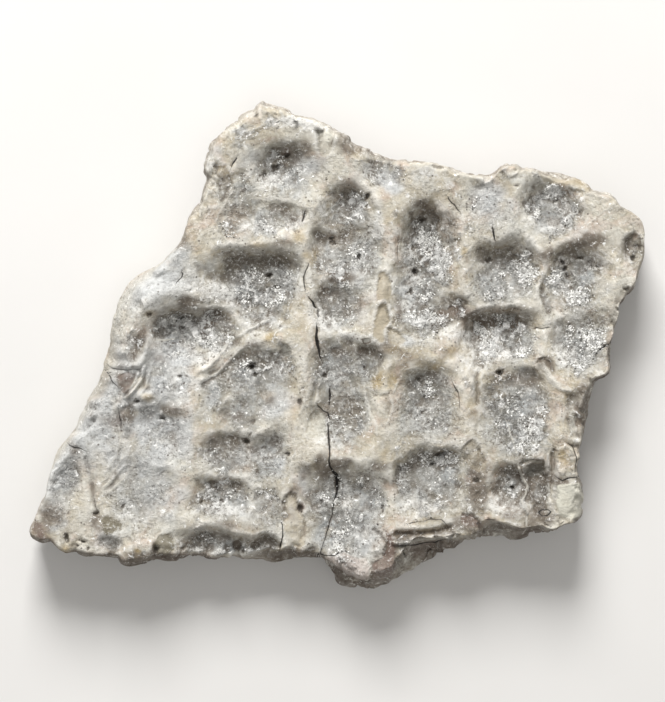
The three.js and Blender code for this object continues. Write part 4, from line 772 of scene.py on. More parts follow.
class OuterFace:
    """Everything that is known of the outer face at x and y: its height, and the masks that its finish
    reads."""

    def __init__(self, x, y, ring):
        flat = point3(x, y)
        self.masks = {kind: np.zeros_like(x) for kind in FLAKE_KINDS}
        self.cut = np.zeros_like(x)
        self.pits(*wander(*wander(x, y, 1.2, 7.0, 11), 0.5, 2.6, 12))
        self.stains(*wander(x, y, 0.6, 2.2, 47), flat)
        self.flakes(*wander(*wander(x, y, 0.25, 1.5, 31), 0.1, 0.6, 33))
        self.lines(*wander(x, y, 0.16, 0.9, 61), flat)
        self.pores(*wander(x, y, 0.3, 0.8, 67))
        self.margin = ramp(0.93, 1.0, ring)
        self.height = self.relief(flat)

    def pits(self, x, y):
        """Each pit is depth * exp(-(r / reach)^power), r being 1 on its rounded box. The power and the
        depth are higher towards +Y. Pits join as the cube root of the sum of their cubes. Wide dishes,
        exp(-(r / reach)^2), are added."""
        total, dishes, crystals, floor = np.zeros((4, *x.shape))
        for cx, cy, half_width, half_height, turn, depth, share in PITS:
            px, py = turned(x, y, cx, cy, half_width, half_height, turn)
            py = np.where(py < 0, py * LOWER_STRETCH, py)
            r = rounded_box(px, py, PIT_SQUARENESS)
            power = WALL_POWER + UPPER_WALL_POWER * py / (r + 0.2)
            bowl = np.exp(-((r / PIT_REACH) ** power))
            total += (depth * bowl * (1 + PIT_LEAN * np.clip(py, -1, 1))) ** PIT_JOIN
            dishes += depth * np.exp(-((r / DISH_REACH) ** 2))
            dish = np.exp(-((r / 1.2) ** 2))
            floor = np.maximum(floor, (0.4 * bowl + 0.6 * dish) * min(1.0, 0.5 + depth / 4))
            crystals = np.maximum(crystals, share * ramp(0.3, 0.85, bowl))
        self.pit = PIT_DEPTH * ((1 - DISH_SHARE) * total ** (1 / PIT_JOIN) + DISH_SHARE * dishes)
        self.masks["bowl"] = floor
        self.floor_crystals = crystals

    def stains(self, x, y, flat):
        """Soft spots of each kind, broken up by noise."""
        for seed, (kind, table) in enumerate(STAINS.items()):
            patchy = ramp(-0.6, 0.35, layered(flat, 2.0, 3, 200 + seed))
            self.masks[kind] = spots(x, y, table) * (0.42 + 0.58 * patchy)

    def flakes(self, x, y):
        """A flake is cut in by its depth inside its outline, with a steep riser. It rises towards its
        middle and runs out towards -Y. flake_edge is the distance to the nearest flake's outline, less
        than 0 inside."""
        edge = np.full(x.shape, FAR)
        for kind, strength, depth, outline in FLAKES:
            here = near(x, y, outline)
            distance = from_outline(x[here], y[here], outline)
            inside = ramp(0.06, -0.22, distance)
            low, high = min(py for _, py in outline), max(py for _, py in outline)
            lean = 0.25 + 0.75 * ramp(low - 1, high - 0.5, y[here])
            rise = 1 - 0.45 * ramp(-0.2, -1.8, distance)
            self.cut[here] += depth * inside * lean * rise
            self.masks[kind][here] = np.maximum(self.masks[kind][here], strength * inside)
            edge[here] = np.minimum(edge[here], distance)
        self.masks["flake_edge"] = edge

    def lines(self, x, y, flat):
        """Dark lines cut a groove and light lines raise a lip, both as ramps across the line. Each kind
        keeps its signed distance, which crosses 0 on the line, and its half width, which is 0 away from
        it."""
        uneven = 0.35 + 0.9 * ramp(-0.5, 0.5, layered(flat, 1.1, 3, 63))
        for name, table, sign in (("dark", CRACK_AND_SHADOW_LINES, 1.0), ("light", LIGHT_LINES, -0.4)):
            signed, widths = np.full(x.shape, FAR), np.zeros_like(x)
            for line in table:
                here = near(x, y, line)
                distance, half_width = from_line(x[here], y[here], line)
                across = np.abs(distance)
                half_width = half_width * (uneven[here] if name == "light" else 0.45 + 0.4 * uneven[here])
                self.cut[here] += sign * (0.05 + 2.8 * half_width) * ramp(half_width + 0.35, 0.0, across)
                closer = across < np.abs(signed[here])
                signed[here] = np.where(closer, distance, signed[here])
                widths[here] = np.where(closer & (across < 0.8), half_width, widths[here])
            self.masks[name + "_side"] = signed
            self.masks[name + "_width"] = widths
        for half_width, depth, line in GROOVES:
            here = near(x, y, line)
            distance, _ = from_line(x[here], y[here], line)
            self.cut[here] += depth * ramp(half_width, 0.0, np.abs(distance))

    def pores(self, x, y):
        """Holes with steep sides. pore is the distance to the nearest one's edge, less than 0 inside."""
        pore = np.full(x.shape, FAR)
        for cx, cy, half_width, half_height, turn, depth in PORES:
            px, py = turned(x, y, cx, cy, half_width, half_height, turn)
            narrow = min(half_width, half_height)
            distance = (rounded_box(px, py, 2) - 1) * narrow
            pore = np.minimum(pore, distance)
            self.cut += depth * ramp(0.2, -0.8 * narrow, distance)
        self.masks["pore"] = pore

    def relief(self, flat):
        """Ridge height with a slow swell, less pits and cuts, with knobs, lumps where it is rough, thin
        terraces like lifted flakes, sugar where there are crystals, and chips along the margin. web says
        where crystals grow: along thin bands, where a noise passes 0, in patches."""
        bowl, rough = self.masks["bowl"], np.clip(self.masks["rough"], 0, 1)
        clumps = layered(flat, 3.2, 4, 41) + 0.35 * layered(flat, 0.9, 2, 23)
        crust = ramp(0.0, 0.45, clumps + 0.5 * self.floor_crystals - 0.4)
        self.masks["crust"] = crust
        self.masks["crystals"] = self.floor_crystals * (0.1 + 0.9 * ramp(-0.15, 0.2, clumps))
        bands = ramp(0.16, 0.0, np.abs(layered(flat, 1.3, 3, 43)))
        self.web = (0.04 + crust * bands) * ramp(-0.35, 0.5, layered(flat, 1.7, 3, 45)) ** 2
        shelf = ramp(0.3, 0.42, bowl + 0.5 * layered(flat, 4.5, 4, 19))
        swell = 0.7 * noise(flat, 26.0, 5) + 0.35 * noise(flat, 9.0, 6)
        knobs = 0.2 * layered(flat, 4.2, 2, 7)
        lumps = (0.08 + 0.16 * bowl + 0.34 * rough + 0.12 * self.margin) * layered(flat, 1.5, 3, 9)
        lumps = lumps + 0.08 * crust * (1 + 2 * layered(flat, 0.9, 2, 21)) - 0.14 * shelf
        lifted = (0.30 * rough + 0.25 * self.margin) * terraces(layered(flat, 6.0, 4, 15), 5, 0.3)
        sugar = 0.12 * np.clip(self.masks["crystals"], 0, 1) * layered(flat, 0.8, 2, 13)
        chips = 0.7 * self.margin * ramp(0.1, 0.5, layered(flat, 3.0, 3, 17))
        return RIDGE_HEIGHT + swell + knobs + lumps + lifted + sugar - chips - self.pit - self.cut

    def shade_and_light_masks(self, y):
        """hollow is how far a point lies under the surface round it. The two slope masks say how steeply
        the ground faces -Y, away from the key lamp, and +Y, towards it; the finish paints shade and light
        by them."""
        close, wide = blurred(self.height, CLOSE_BLUR), blurred(self.height, WIDE_BLUR)
        hollow = (close - self.height) / 0.16 + 0.35 * (wide - self.height) / 0.6
        self.masks["hollow"] = np.clip(hollow, -1.5, 1.5)
        slope = np.gradient(blurred(self.height, SLOPE_BLUR), axis=0) / np.gradient(y, axis=0)
        self.masks["painted_shade_slope"] = ramp(0.2, 1.2, slope)
        self.masks["painted_light_slope"] = ramp(0.08, 0.8, -slope)


# ---- The broken edge and the inner face ----
def inner_height(a, b, flat):
    """Zero out to the rest share, then a smooth rise to the heel lift, with broad and fine hollows above
    zero."""
    ring = np.maximum(np.abs(a), np.abs(b))
    broad = 0.35 * ramp(0.1, 0.7, layered(flat, 6.0, 3, 71))
    fine = 0.1 * ramp(0.0, 0.6, layered(flat, 1.5, 2, 73))
    return HEEL_LIFT * ramp(REST_SHARE, 1.0, ring) + (broad + fine)


def round_the_rim(columns, rows):
    """Row and column numbers all the way round a grid, anticlockwise from above."""
    across, up = np.arange(columns), np.arange(rows)
    row = np.concatenate([0 * across, up, rows + 0 * across, rows - up])
    column = np.concatenate([across, columns + 0 * up, columns - across, 0 * up])
    return row, column


def worn_edge(outline_point):
    """1 where the edge is the bone's own, smooth and rounded, as on most of the left side, 0 where it
    broke."""
    x, y = outline_point[..., 0], outline_point[..., 1]
    uneven = 3.0 * layered(point3(x, y), 4.0, 3, 141)
    return ramp(-18.0, -27.0, x + uneven) * ramp(-29.0, -25.0, y + uneven)


def surface_normals(grid):
    """Unit normals of a closed band of points, steps by places: the cross product of its differences."""
    round_it = np.roll(grid, -1, 1) - np.roll(grid, 1, 1)
    down_it = np.gradient(grid, axis=0)
    normal = np.cross(down_it, round_it)
    return normal / np.maximum(np.linalg.norm(normal, axis=-1, keepdims=True), 1e-9)


def edge_band(a, b, outer_rim, inner_z):
    """The broken edge, steps by places: out from the outer face's rim to the outline and back under it.
    Above, it is a quarter ellipse where it is narrow and a straight slope where it is wide; below, a
    quarter ellipse. It is roughened inwards by layers that run level, by hackly steps and by pores in the
    spongy middle."""
    angle = np.linspace(0, math.pi, EDGE_STEPS + 1)[1:, None]
    outline_point = patch(a, b)
    rounding = outer_rounding(outline_point)
    upper = angle <= math.pi / 2
    power = np.where(upper, 1 + 0.9 * ramp(1.2, 3.6, rounding), 1.0)
    out, up = np.sin(angle) ** power, np.abs(np.cos(angle)) ** power
    inward = share_inside(outline_point, np.where(upper, rounding, INNER_ROUNDING) * (1 - out))
    flat = patch(a * inward, b * inward)
    end = np.where(upper, outer_rim[:, 2], inner_z)
    z = EDGE_HEIGHT + (end - EDGE_HEIGHT) * up
    band = np.concatenate([flat, z[..., None]], -1)
    fade = np.sin(angle) ** 0.5
    hackle = ramp(-0.6, 0.7, layered(band, 4.0, 5, 79))
    layers = ramp(-0.4, 0.6, layered(band * np.array([0.25, 0.25, 1.6]), 1.6, 3, 83))
    sponge = ramp(0.05, 0.45, layered(band, 1.2, 3, 89)) * ramp(0.2, 0.7, np.sin(angle))
    depth = fade * (0.6 * hackle + 0.35 * layers + 0.4 * sponge - 0.45)
    depth = depth * (1 + 0.3 * np.clip(rounding - 1, 0, 3)) * (1 - 0.7 * worn_edge(outline_point))
    return band - surface_normals(band) * depth[..., None]


# ---- The closed mesh ----
EDGE_DRIFT = 1.3  # millimetres that the face's stains and lines wander by as they run down the edge
FACE_ONLY = ("hollow", "painted_shade_slope", "painted_light_slope", "crust", "crystals", "bowl")  # masks that end at the outer rim
DISTANCES = ("flake_edge", "dark_side", "light_side", "pore")  # masks that are FAR where there is nothing


def cells(grid, upward):
    """Two triangles for each cell of a grid of vertex numbers."""
    p, q, r, s = (c.ravel() for c in (grid[:-1, :-1], grid[:-1, 1:], grid[1:, 1:], grid[1:, :-1]))
    corners = [p, q, r, p, r, s] if upward else [p, r, q, p, s, r]
    return np.stack(corners, 1).reshape(-1, 3)


def join_rings(fine, coarse):
    """Triangles from a ring to a coarser one inside it: a fan to each coarse vertex, and one to the
    next."""
    step = len(fine) // len(coarse)
    fans = fine.reshape(-1, step)
    fans = np.concatenate([fans, np.roll(fans[:, :1], -1, 0)], 1)
    half = step // 2 + 1
    near_one, far_one = coarse[:, None], np.roll(coarse, -1)[:, None]
    triangles = []
    for k in range(step):
        owner = near_one if k < half else far_one
        triangles.append(np.concatenate([fans[:, k : k + 1], owner, fans[:, k + 1 : k + 2]], 1))
    triangles.append(np.concatenate([fans[:, half : half + 1], near_one, far_one], 1))
    return np.concatenate(triangles)


def make_mesh(name, vertices, triangles, masks, smooth=True):
    """A mesh object from arrays, in metres, with its masks as point attributes."""
    mesh = bpy.data.meshes.new(name)
    mesh.vertices.add(len(vertices))
    mesh.vertices.foreach_set("co", (vertices * MM).astype(np.float32).ravel())
    mesh.loops.add(triangles.size)
    mesh.loops.foreach_set("vertex_index", triangles.astype(np.int32).ravel())
    mesh.polygons.add(len(triangles))
    mesh.polygons.foreach_set("loop_start", np.arange(0, triangles.size, 3, dtype=np.int32))
    mesh.polygons.foreach_set("use_smooth", np.full(len(triangles), smooth))
    for mask, values in masks.items():
        attribute = mesh.attributes.new(mask, "FLOAT", "POINT")
        attribute.data.foreach_set("value", values.astype(np.float32))
    mesh.update(calc_edges=True)
    mesh.validate()
    piece = bpy.data.objects.new(name, mesh)
    bpy.context.scene.collection.objects.link(piece)
    return piece


def numbered(grid, first):
    """Vertex numbers for a grid of points, counted on from first."""
    return first + np.arange(grid[..., 0].size).reshape(grid.shape[:2])


def joined(*parts):
    """Values in the order of the vertices: the outer face's, the edge's and the inner face's."""
    return np.concatenate([part.ravel() for part in parts])


def plate_masks(face, rim, band, outline_point, inner_shape):
    """Masks of the whole plate. On the edge, stains and lines run on from the outer face and wander as
    they go down, and all masks fade before the inner face. broken is 1 on raw bone, inner on the inner
    face, and the edge's shade mask is 1 on raw bone that faces -Y, away from the key lamp: painted shade."""
    masks = {}
    share = np.linspace(0, 1, EDGE_STEPS + 1)[1:, None] * np.ones(band.shape[:2])
    drift = ramp(0.1, 0.5, share)
    edge_x = band[..., 0] + drift * (EDGE_DRIFT * layered(band, 3.2, 4, 131))
    edge_y = band[..., 1] + drift * (EDGE_DRIFT * layered(band, 3.2, 4, 137))
    edge_face = OuterFace(edge_x, edge_y, np.ones(band.shape[:2]))
    for name, values in face.masks.items():
        rest = FAR if name in DISTANCES else 0.0
        if name in FACE_ONLY:
            at_edge, fade = values[rim], ramp(0.0, 0.15, share)
        else:
            at_edge, fade = edge_face.masks[name], ramp(0.2 if name == "ash" else 0.5, 0.9, share)
        if name in STAINS:
            at_edge = np.minimum(at_edge, 1.0 - 0.6 * ramp(0.05, 0.35, share))
        masks[name] = joined(values, at_edge + (rest - at_edge) * fade, np.full(inner_shape, rest))
    nothing, underneath = np.zeros(face.height.shape), np.ones(inner_shape)
    broken = ramp(0.02, 0.3, share) * ramp(1.0, 0.85, share) * (1 - 0.85 * worn_edge(outline_point))
    facing = ramp(-0.1, 0.8, -surface_normals(band)[..., 1])
    # painted shade on raw bone that faces -Y, held back where PALE_EDGES say
    painted_shade_edge = broken * facing * (1 - 0.85 * spots(band[..., 0], band[..., 1], PALE_EDGES))
    masks["broken"] = joined(nothing, broken, 0 * underneath)
    masks["inner"] = joined(nothing, ramp(0.8, 1.0, share), underneath)
    masks["painted_shade_edge"] = joined(nothing, painted_shade_edge, 0 * underneath)
    return masks


def plate_surface():
    """Vertices, triangles and masks of the whole plate, and the outer face's grid of vertices and
    masks."""
    outer_xy, a, b = face_grid(OUTER_COLUMNS, OUTER_ROWS, outer_rounding)
    x, y = outer_xy[..., 0], outer_xy[..., 1]
    face = OuterFace(x, y, np.maximum(np.abs(a), np.abs(b)))
    face.shade_and_light_masks(y)
    face.height += CAD_HIGH[2] - face.height.max()
    outer = point3(x, y, face.height)

    rim = round_the_rim(OUTER_COLUMNS, OUTER_ROWS)
    band = edge_band(a[rim], b[rim], outer[rim], HEEL_LIFT)

    inner_columns, inner_rows = OUTER_COLUMNS // INNER_STEP, OUTER_ROWS // INNER_STEP
    inner_xy, inner_a, inner_b = face_grid(inner_columns, inner_rows, inner_rounding)
    x, y = inner_xy[..., 0], inner_xy[..., 1]
    inner = point3(x, y, inner_height(inner_a, inner_b, point3(x, y)))

    outer_ids = numbered(outer, 0)
    band_ids = numbered(band, outer_ids.size)
    inner_ids = numbered(inner, outer_ids.size + band_ids.size)
    rings = np.concatenate([outer_ids[rim][None], band_ids])
    closed_rings = np.concatenate([rings, rings[:, :1]], 1)
    inner_rim = inner_ids[round_the_rim(inner_columns, inner_rows)]
    triangles = np.concatenate(
        [
            cells(outer_ids, upward=True),
            cells(closed_rings, upward=False),
            join_rings(band_ids[-1], inner_rim),
            cells(inner_ids, upward=False),
        ]
    )
    vertices = np.concatenate([part.reshape(-1, 3) for part in (outer, band, inner)])
    masks = plate_masks(face, rim, band, patch(a[rim], b[rim]), inner.shape[:2])
    return vertices, triangles, masks, outer, face


def centring_shift():
    """The shift that brings the outline's box to the middle of the frame's box, and z = 0 to its
    bottom."""
    loop = np.concatenate([BOTTOM, RIGHT, TOP, LEFT])
    middle = (loop.min(0) + loop.max(0)) / 2
    box_middle = (CAD_LOW[:2] + CAD_HIGH[:2]) / 2
    return np.array([*(box_middle - middle), CAD_LOW[2]])


# ---- Crystals ----
CRYSTALS = 22000
SMALLEST, SPREAD = 0.032, 0.145  # millimetres: the least size of a crystal, and how much larger one can be


def crystal_grains(outer, density, rng):
    """Eight-sided grains on the outer face. Places are drawn by density, and sizes as the smallest plus
    the spread times a random cube. Each is stretched, and turned by the matrix of a random quaternion."""
    weight = density[:-1, :-1].ravel()
    cell = rng.choice(weight.size, CRYSTALS, p=weight / weight.sum())
    row, column = np.unravel_index(cell, density[:-1, :-1].shape)
    right_share, up_share = rng.random((2, CRYSTALS, 1))
    corner = outer[row, column]
    to_right, to_top = outer[row, column + 1] - corner, outer[row + 1, column] - corner
    centre = corner + right_share * to_right + up_share * to_top
    size = SMALLEST + SPREAD * rng.random(CRYSTALS) ** 3
    stretch = size[:, None] * rng.uniform(0.6, 1.4, (CRYSTALS, 3))
    q = rng.normal(size=(CRYSTALS, 4))
    w, x, y, z = (q / np.linalg.norm(q, axis=1, keepdims=True)).T
    turn = np.stack(
        [
            np.stack([1 - 2 * (y * y + z * z), 2 * (x * y - z * w), 2 * (x * z + y * w)], -1),
            np.stack([2 * (x * y + z * w), 1 - 2 * (x * x + z * z), 2 * (y * z - x * w)], -1),
            np.stack([2 * (x * z - y * w), 2 * (y * z + x * w), 1 - 2 * (x * x + y * y)], -1),
        ],
        1,
    )
    corners = np.array([(1, 0, 0), (-1, 0, 0), (0, 1, 0), (0, -1, 0), (0, 0, 1), (0, 0, -1)], float)
    upper = [(0, 2, 4), (2, 1, 4), (1, 3, 4), (3, 0, 4)]
    lower = [(2, 0, 5), (1, 2, 5), (3, 1, 5), (0, 3, 5)]
    faces = np.array(upper + lower)
    vertices = centre[:, None] + np.einsum("nij,nkj->nki", turn, corners[None] * stretch[:, None])
    triangles = faces[None] + 6 * np.arange(CRYSTALS)[:, None, None]
    shade = np.repeat(rng.random(CRYSTALS), 6)
    return vertices.reshape(-1, 3), triangles.reshape(-1, 3), shade


# ---- Materials ----
# dark brown for grime and painted shade in hollows, and for painted shade on slopes facing -Y
DIRT_AND_SHADE = (0.15, 0.125, 0.095)
WHITE_GRAIN = (0.92, 0.92, 0.90)


class Finish:
    """A material being wired: each method adds nodes and returns an output socket."""

    def __init__(self, name):
        self.material = bpy.data.materials.new(name)
        self.material.use_nodes = True
        self.tree = self.material.node_tree
        self.shader = self.tree.nodes["Principled BSDF"]
        coordinates = self.tree.nodes.new("ShaderNodeTexCoord")
        millimetres = self.tree.nodes.new("ShaderNodeMapping")
        millimetres.inputs["Scale"].default_value = (1 / MM,) * 3
        self.tree.links.new(coordinates.outputs["Object"], millimetres.inputs["Vector"])
        self.place = millimetres.outputs["Vector"]

    def feed(self, socket, value):
        """A socket linked to another one, or set to a value."""
        if isinstance(value, bpy.types.NodeSocket):
            self.tree.links.new(value, socket)
        else:
            socket.default_value = value

    def math(self, operation, first, second=0.0):
        node = self.tree.nodes.new("ShaderNodeMath")
        node.operation = operation
        self.feed(node.inputs[0], first)
        self.feed(node.inputs[1], second)
        return node.outputs[0]

    def plus(self, first, second):
        return self.math("ADD", first, second)

    def minus(self, first, second):
        return self.math("SUBTRACT", first, second)

    def times(self, first, second):
        return self.math("MULTIPLY", first, second)

    def ramp(self, value, start, end, low=0.0, high=1.0):
        """low at start and high at end, with the smooth step 3t^2 - 2t^3 between."""
        node = self.tree.nodes.new("ShaderNodeMapRange")
        node.interpolation_type = "SMOOTHSTEP"
        self.feed(node.inputs["Value"], value)
        for name, number in (("From Min", start), ("From Max", end), ("To Min", low), ("To Max", high)):
            node.inputs[name].default_value = number
        return node.outputs["Result"]

    def noise(self, size, detail=2.0, roughness=0.5, distortion=0.0, stretch=None):
        """Noise whose largest blobs are about size millimetres across."""
        node = self.tree.nodes.new("ShaderNodeTexNoise")
        node.inputs["Scale"].default_value = 1 / size
        node.inputs["Detail"].default_value = detail
        node.inputs["Roughness"].default_value = roughness
        node.inputs["Distortion"].default_value = distortion
        place = self.place
        if stretch:
            mapping = self.tree.nodes.new("ShaderNodeMapping")
            mapping.inputs["Scale"].default_value = stretch
            self.tree.links.new(place, mapping.inputs["Vector"])
            place = mapping.outputs["Vector"]
        self.tree.links.new(place, node.inputs["Vector"])
        return node.outputs["Fac"]

    def veins(self, half_width, *noise):
        """Thin winding bands where a noise passes 0.5: 1 on the line, and 0 at the half width from it."""
        from_middle = self.math("ABSOLUTE", self.minus(self.noise(*noise), 0.5))
        return self.ramp(from_middle, half_width, 0.0)

    def grains(self, size):
        """Cells about size millimetres across: the distance from a cell's middle, and a number of its
        own."""
        node = self.tree.nodes.new("ShaderNodeTexVoronoi")
        node.inputs["Scale"].default_value = 1 / size
        self.tree.links.new(self.place, node.inputs["Vector"])
        own = self.tree.nodes.new("ShaderNodeSeparateColor")
        self.tree.links.new(node.outputs["Color"], own.inputs["Color"])
        return node.outputs["Distance"], own.outputs["Red"]

    def mask(self, name):
        """One of the mesh's point attributes."""
        node = self.tree.nodes.new("ShaderNodeAttribute")
        node.attribute_name = name
        return node.outputs["Fac"]

    def mix(self, share, first, second):
        """The first colour where the share is 0 and the second where it is 1."""
        node = self.tree.nodes.new("ShaderNodeMix")
        node.data_type = "RGBA"
        self.feed(node.inputs["Factor"], share)
        self.feed(node.inputs["A"], (*first, 1.0) if isinstance(first, tuple) else first)
        self.feed(node.inputs["B"], (*second, 1.0) if isinstance(second, tuple) else second)
        return node.outputs["Result"]

    def cover(self, under, share, most, paint):
        """A colour laid over another, by the share times the most that it covers."""
        return self.mix(self.times(share, most), under, paint)

    def layers(self, under, *layers):
        """Colours laid over one another in turn. Each has a value, where its ramp starts and ends, the
        most that it covers, and its colour."""
        for value, start, end, most, paint in layers:
            under = self.mix(self.ramp(value, start, end, 0.0, most), under, paint)
        return under

    def bump(self, height, distance, strength=1.0, normal=None):
        """A normal tilted by a height, distance being millimetres for a height of 1."""
        node = self.tree.nodes.new("ShaderNodeBump")
        node.inputs["Distance"].default_value = distance * MM
        node.inputs["Strength"].default_value = strength
        self.feed(node.inputs["Height"], height)
        if normal is not None:
            self.tree.links.new(normal, node.inputs["Normal"])
        return node.outputs["Normal"]

    def line(self, name, softness):
        """1 on a line: its half width less the distance from it, softened, and 0 where no line is
        near."""
        width = self.mask(name + "_width")
        beside = self.minus(self.math("ABSOLUTE", self.mask(name + "_side")), width)
        return self.times(self.ramp(beside, softness, -0.02), self.ramp(width, 0.0, 0.03))


def ridge_paint(f, cloud, tint, film, fibre, mottle):
    """Cream and tan in clouds, warmer or paler by tint, then film, ash, and dark and light fibres and
    mottle."""
    paint = f.mix(f.ramp(cloud, 0.38, 0.62), (0.47, 0.415, 0.31), (0.58, 0.555, 0.48))
    paint = f.layers(
        paint,
        (tint, 0.5, 0.66, 0.9, (0.52, 0.42, 0.34)),
        (tint, 0.48, 0.3, 0.9, (0.60, 0.60, 0.56)),
    )
    paint = f.cover(paint, film, 0.35, (0.64, 0.625, 0.57))
    return f.layers(
        paint,
        (f.mask("ash"), 0.1, 1.1, 0.85, (0.53, 0.54, 0.53)),
        (fibre, 0.5, 0.3, 0.22, (0.30, 0.26, 0.20)),
        (mottle, 0.47, 0.3, 0.4, (0.34, 0.29, 0.22)),
        (mottle, 0.53, 0.68, 0.5, (0.76, 0.745, 0.69)),
        (fibre, 0.5, 0.68, 0.25, (0.80, 0.785, 0.73)),
    )


def pit_floor_paint(f, tint, mottle):
    """Two greys in patches, warmer or bluer by tint, then ash, and light and dark mottle."""
    patches = f.ramp(f.noise(4.5, 4.0, 0.6, 0.5), 0.38, 0.62)
    return f.layers(
        f.mix(patches, (0.20, 0.195, 0.175), (0.385, 0.39, 0.38)),
        (tint, 0.5, 0.66, 0.8, (0.27, 0.24, 0.19)),
        (tint, 0.48, 0.32, 0.7, (0.37, 0.395, 0.41)),
        (f.mask("ash"), 0.1, 1.1, 0.6, (0.34, 0.35, 0.355)),
        (mottle, 0.5, 0.66, 0.55, (0.58, 0.585, 0.57)),
        (mottle, 0.5, 0.32, 0.65, (0.13, 0.125, 0.105)),
    )


def raw_paint(f):
    """Broken bone: brown to buff in fine patches, with paler layers that run level."""
    patches = f.ramp(f.noise(0.9, 4.0, 0.7), 0.35, 0.7)
    level = f.noise(2.5, 3.0, 0.6, 0.0, (0.3, 0.3, 2.5))
    paint = f.mix(patches, (0.21, 0.175, 0.14), (0.49, 0.455, 0.39))
    return f.layers(paint, (level, 0.4, 0.65, 0.6, (0.53, 0.51, 0.47)))


def inner_face_paint(f, cloud, tint, mottle, hole_shade_specks):
    """Smooth bone: grey-buff in clouds, with brown tints, pale fibres, dark mottle and small near-black
    specks, painted as the shade of small openings in the bone."""
    fibres = f.noise(1.1, 5.0, 0.7, 1.6, (0.4, 1.1, 1.0))
    paint = f.layers(
        f.mix(f.ramp(cloud, 0.38, 0.62), (0.38, 0.35, 0.30), (0.52, 0.50, 0.45)),
        (tint, 0.5, 0.68, 0.7, (0.36, 0.28, 0.20)),
        (fibres, 0.44, 0.68, 0.5, (0.66, 0.64, 0.58)),
        (mottle, 0.48, 0.32, 0.6, (0.27, 0.225, 0.17)),
    )
    return f.cover(paint, hole_shade_specks, 0.85, (0.07, 0.055, 0.04))


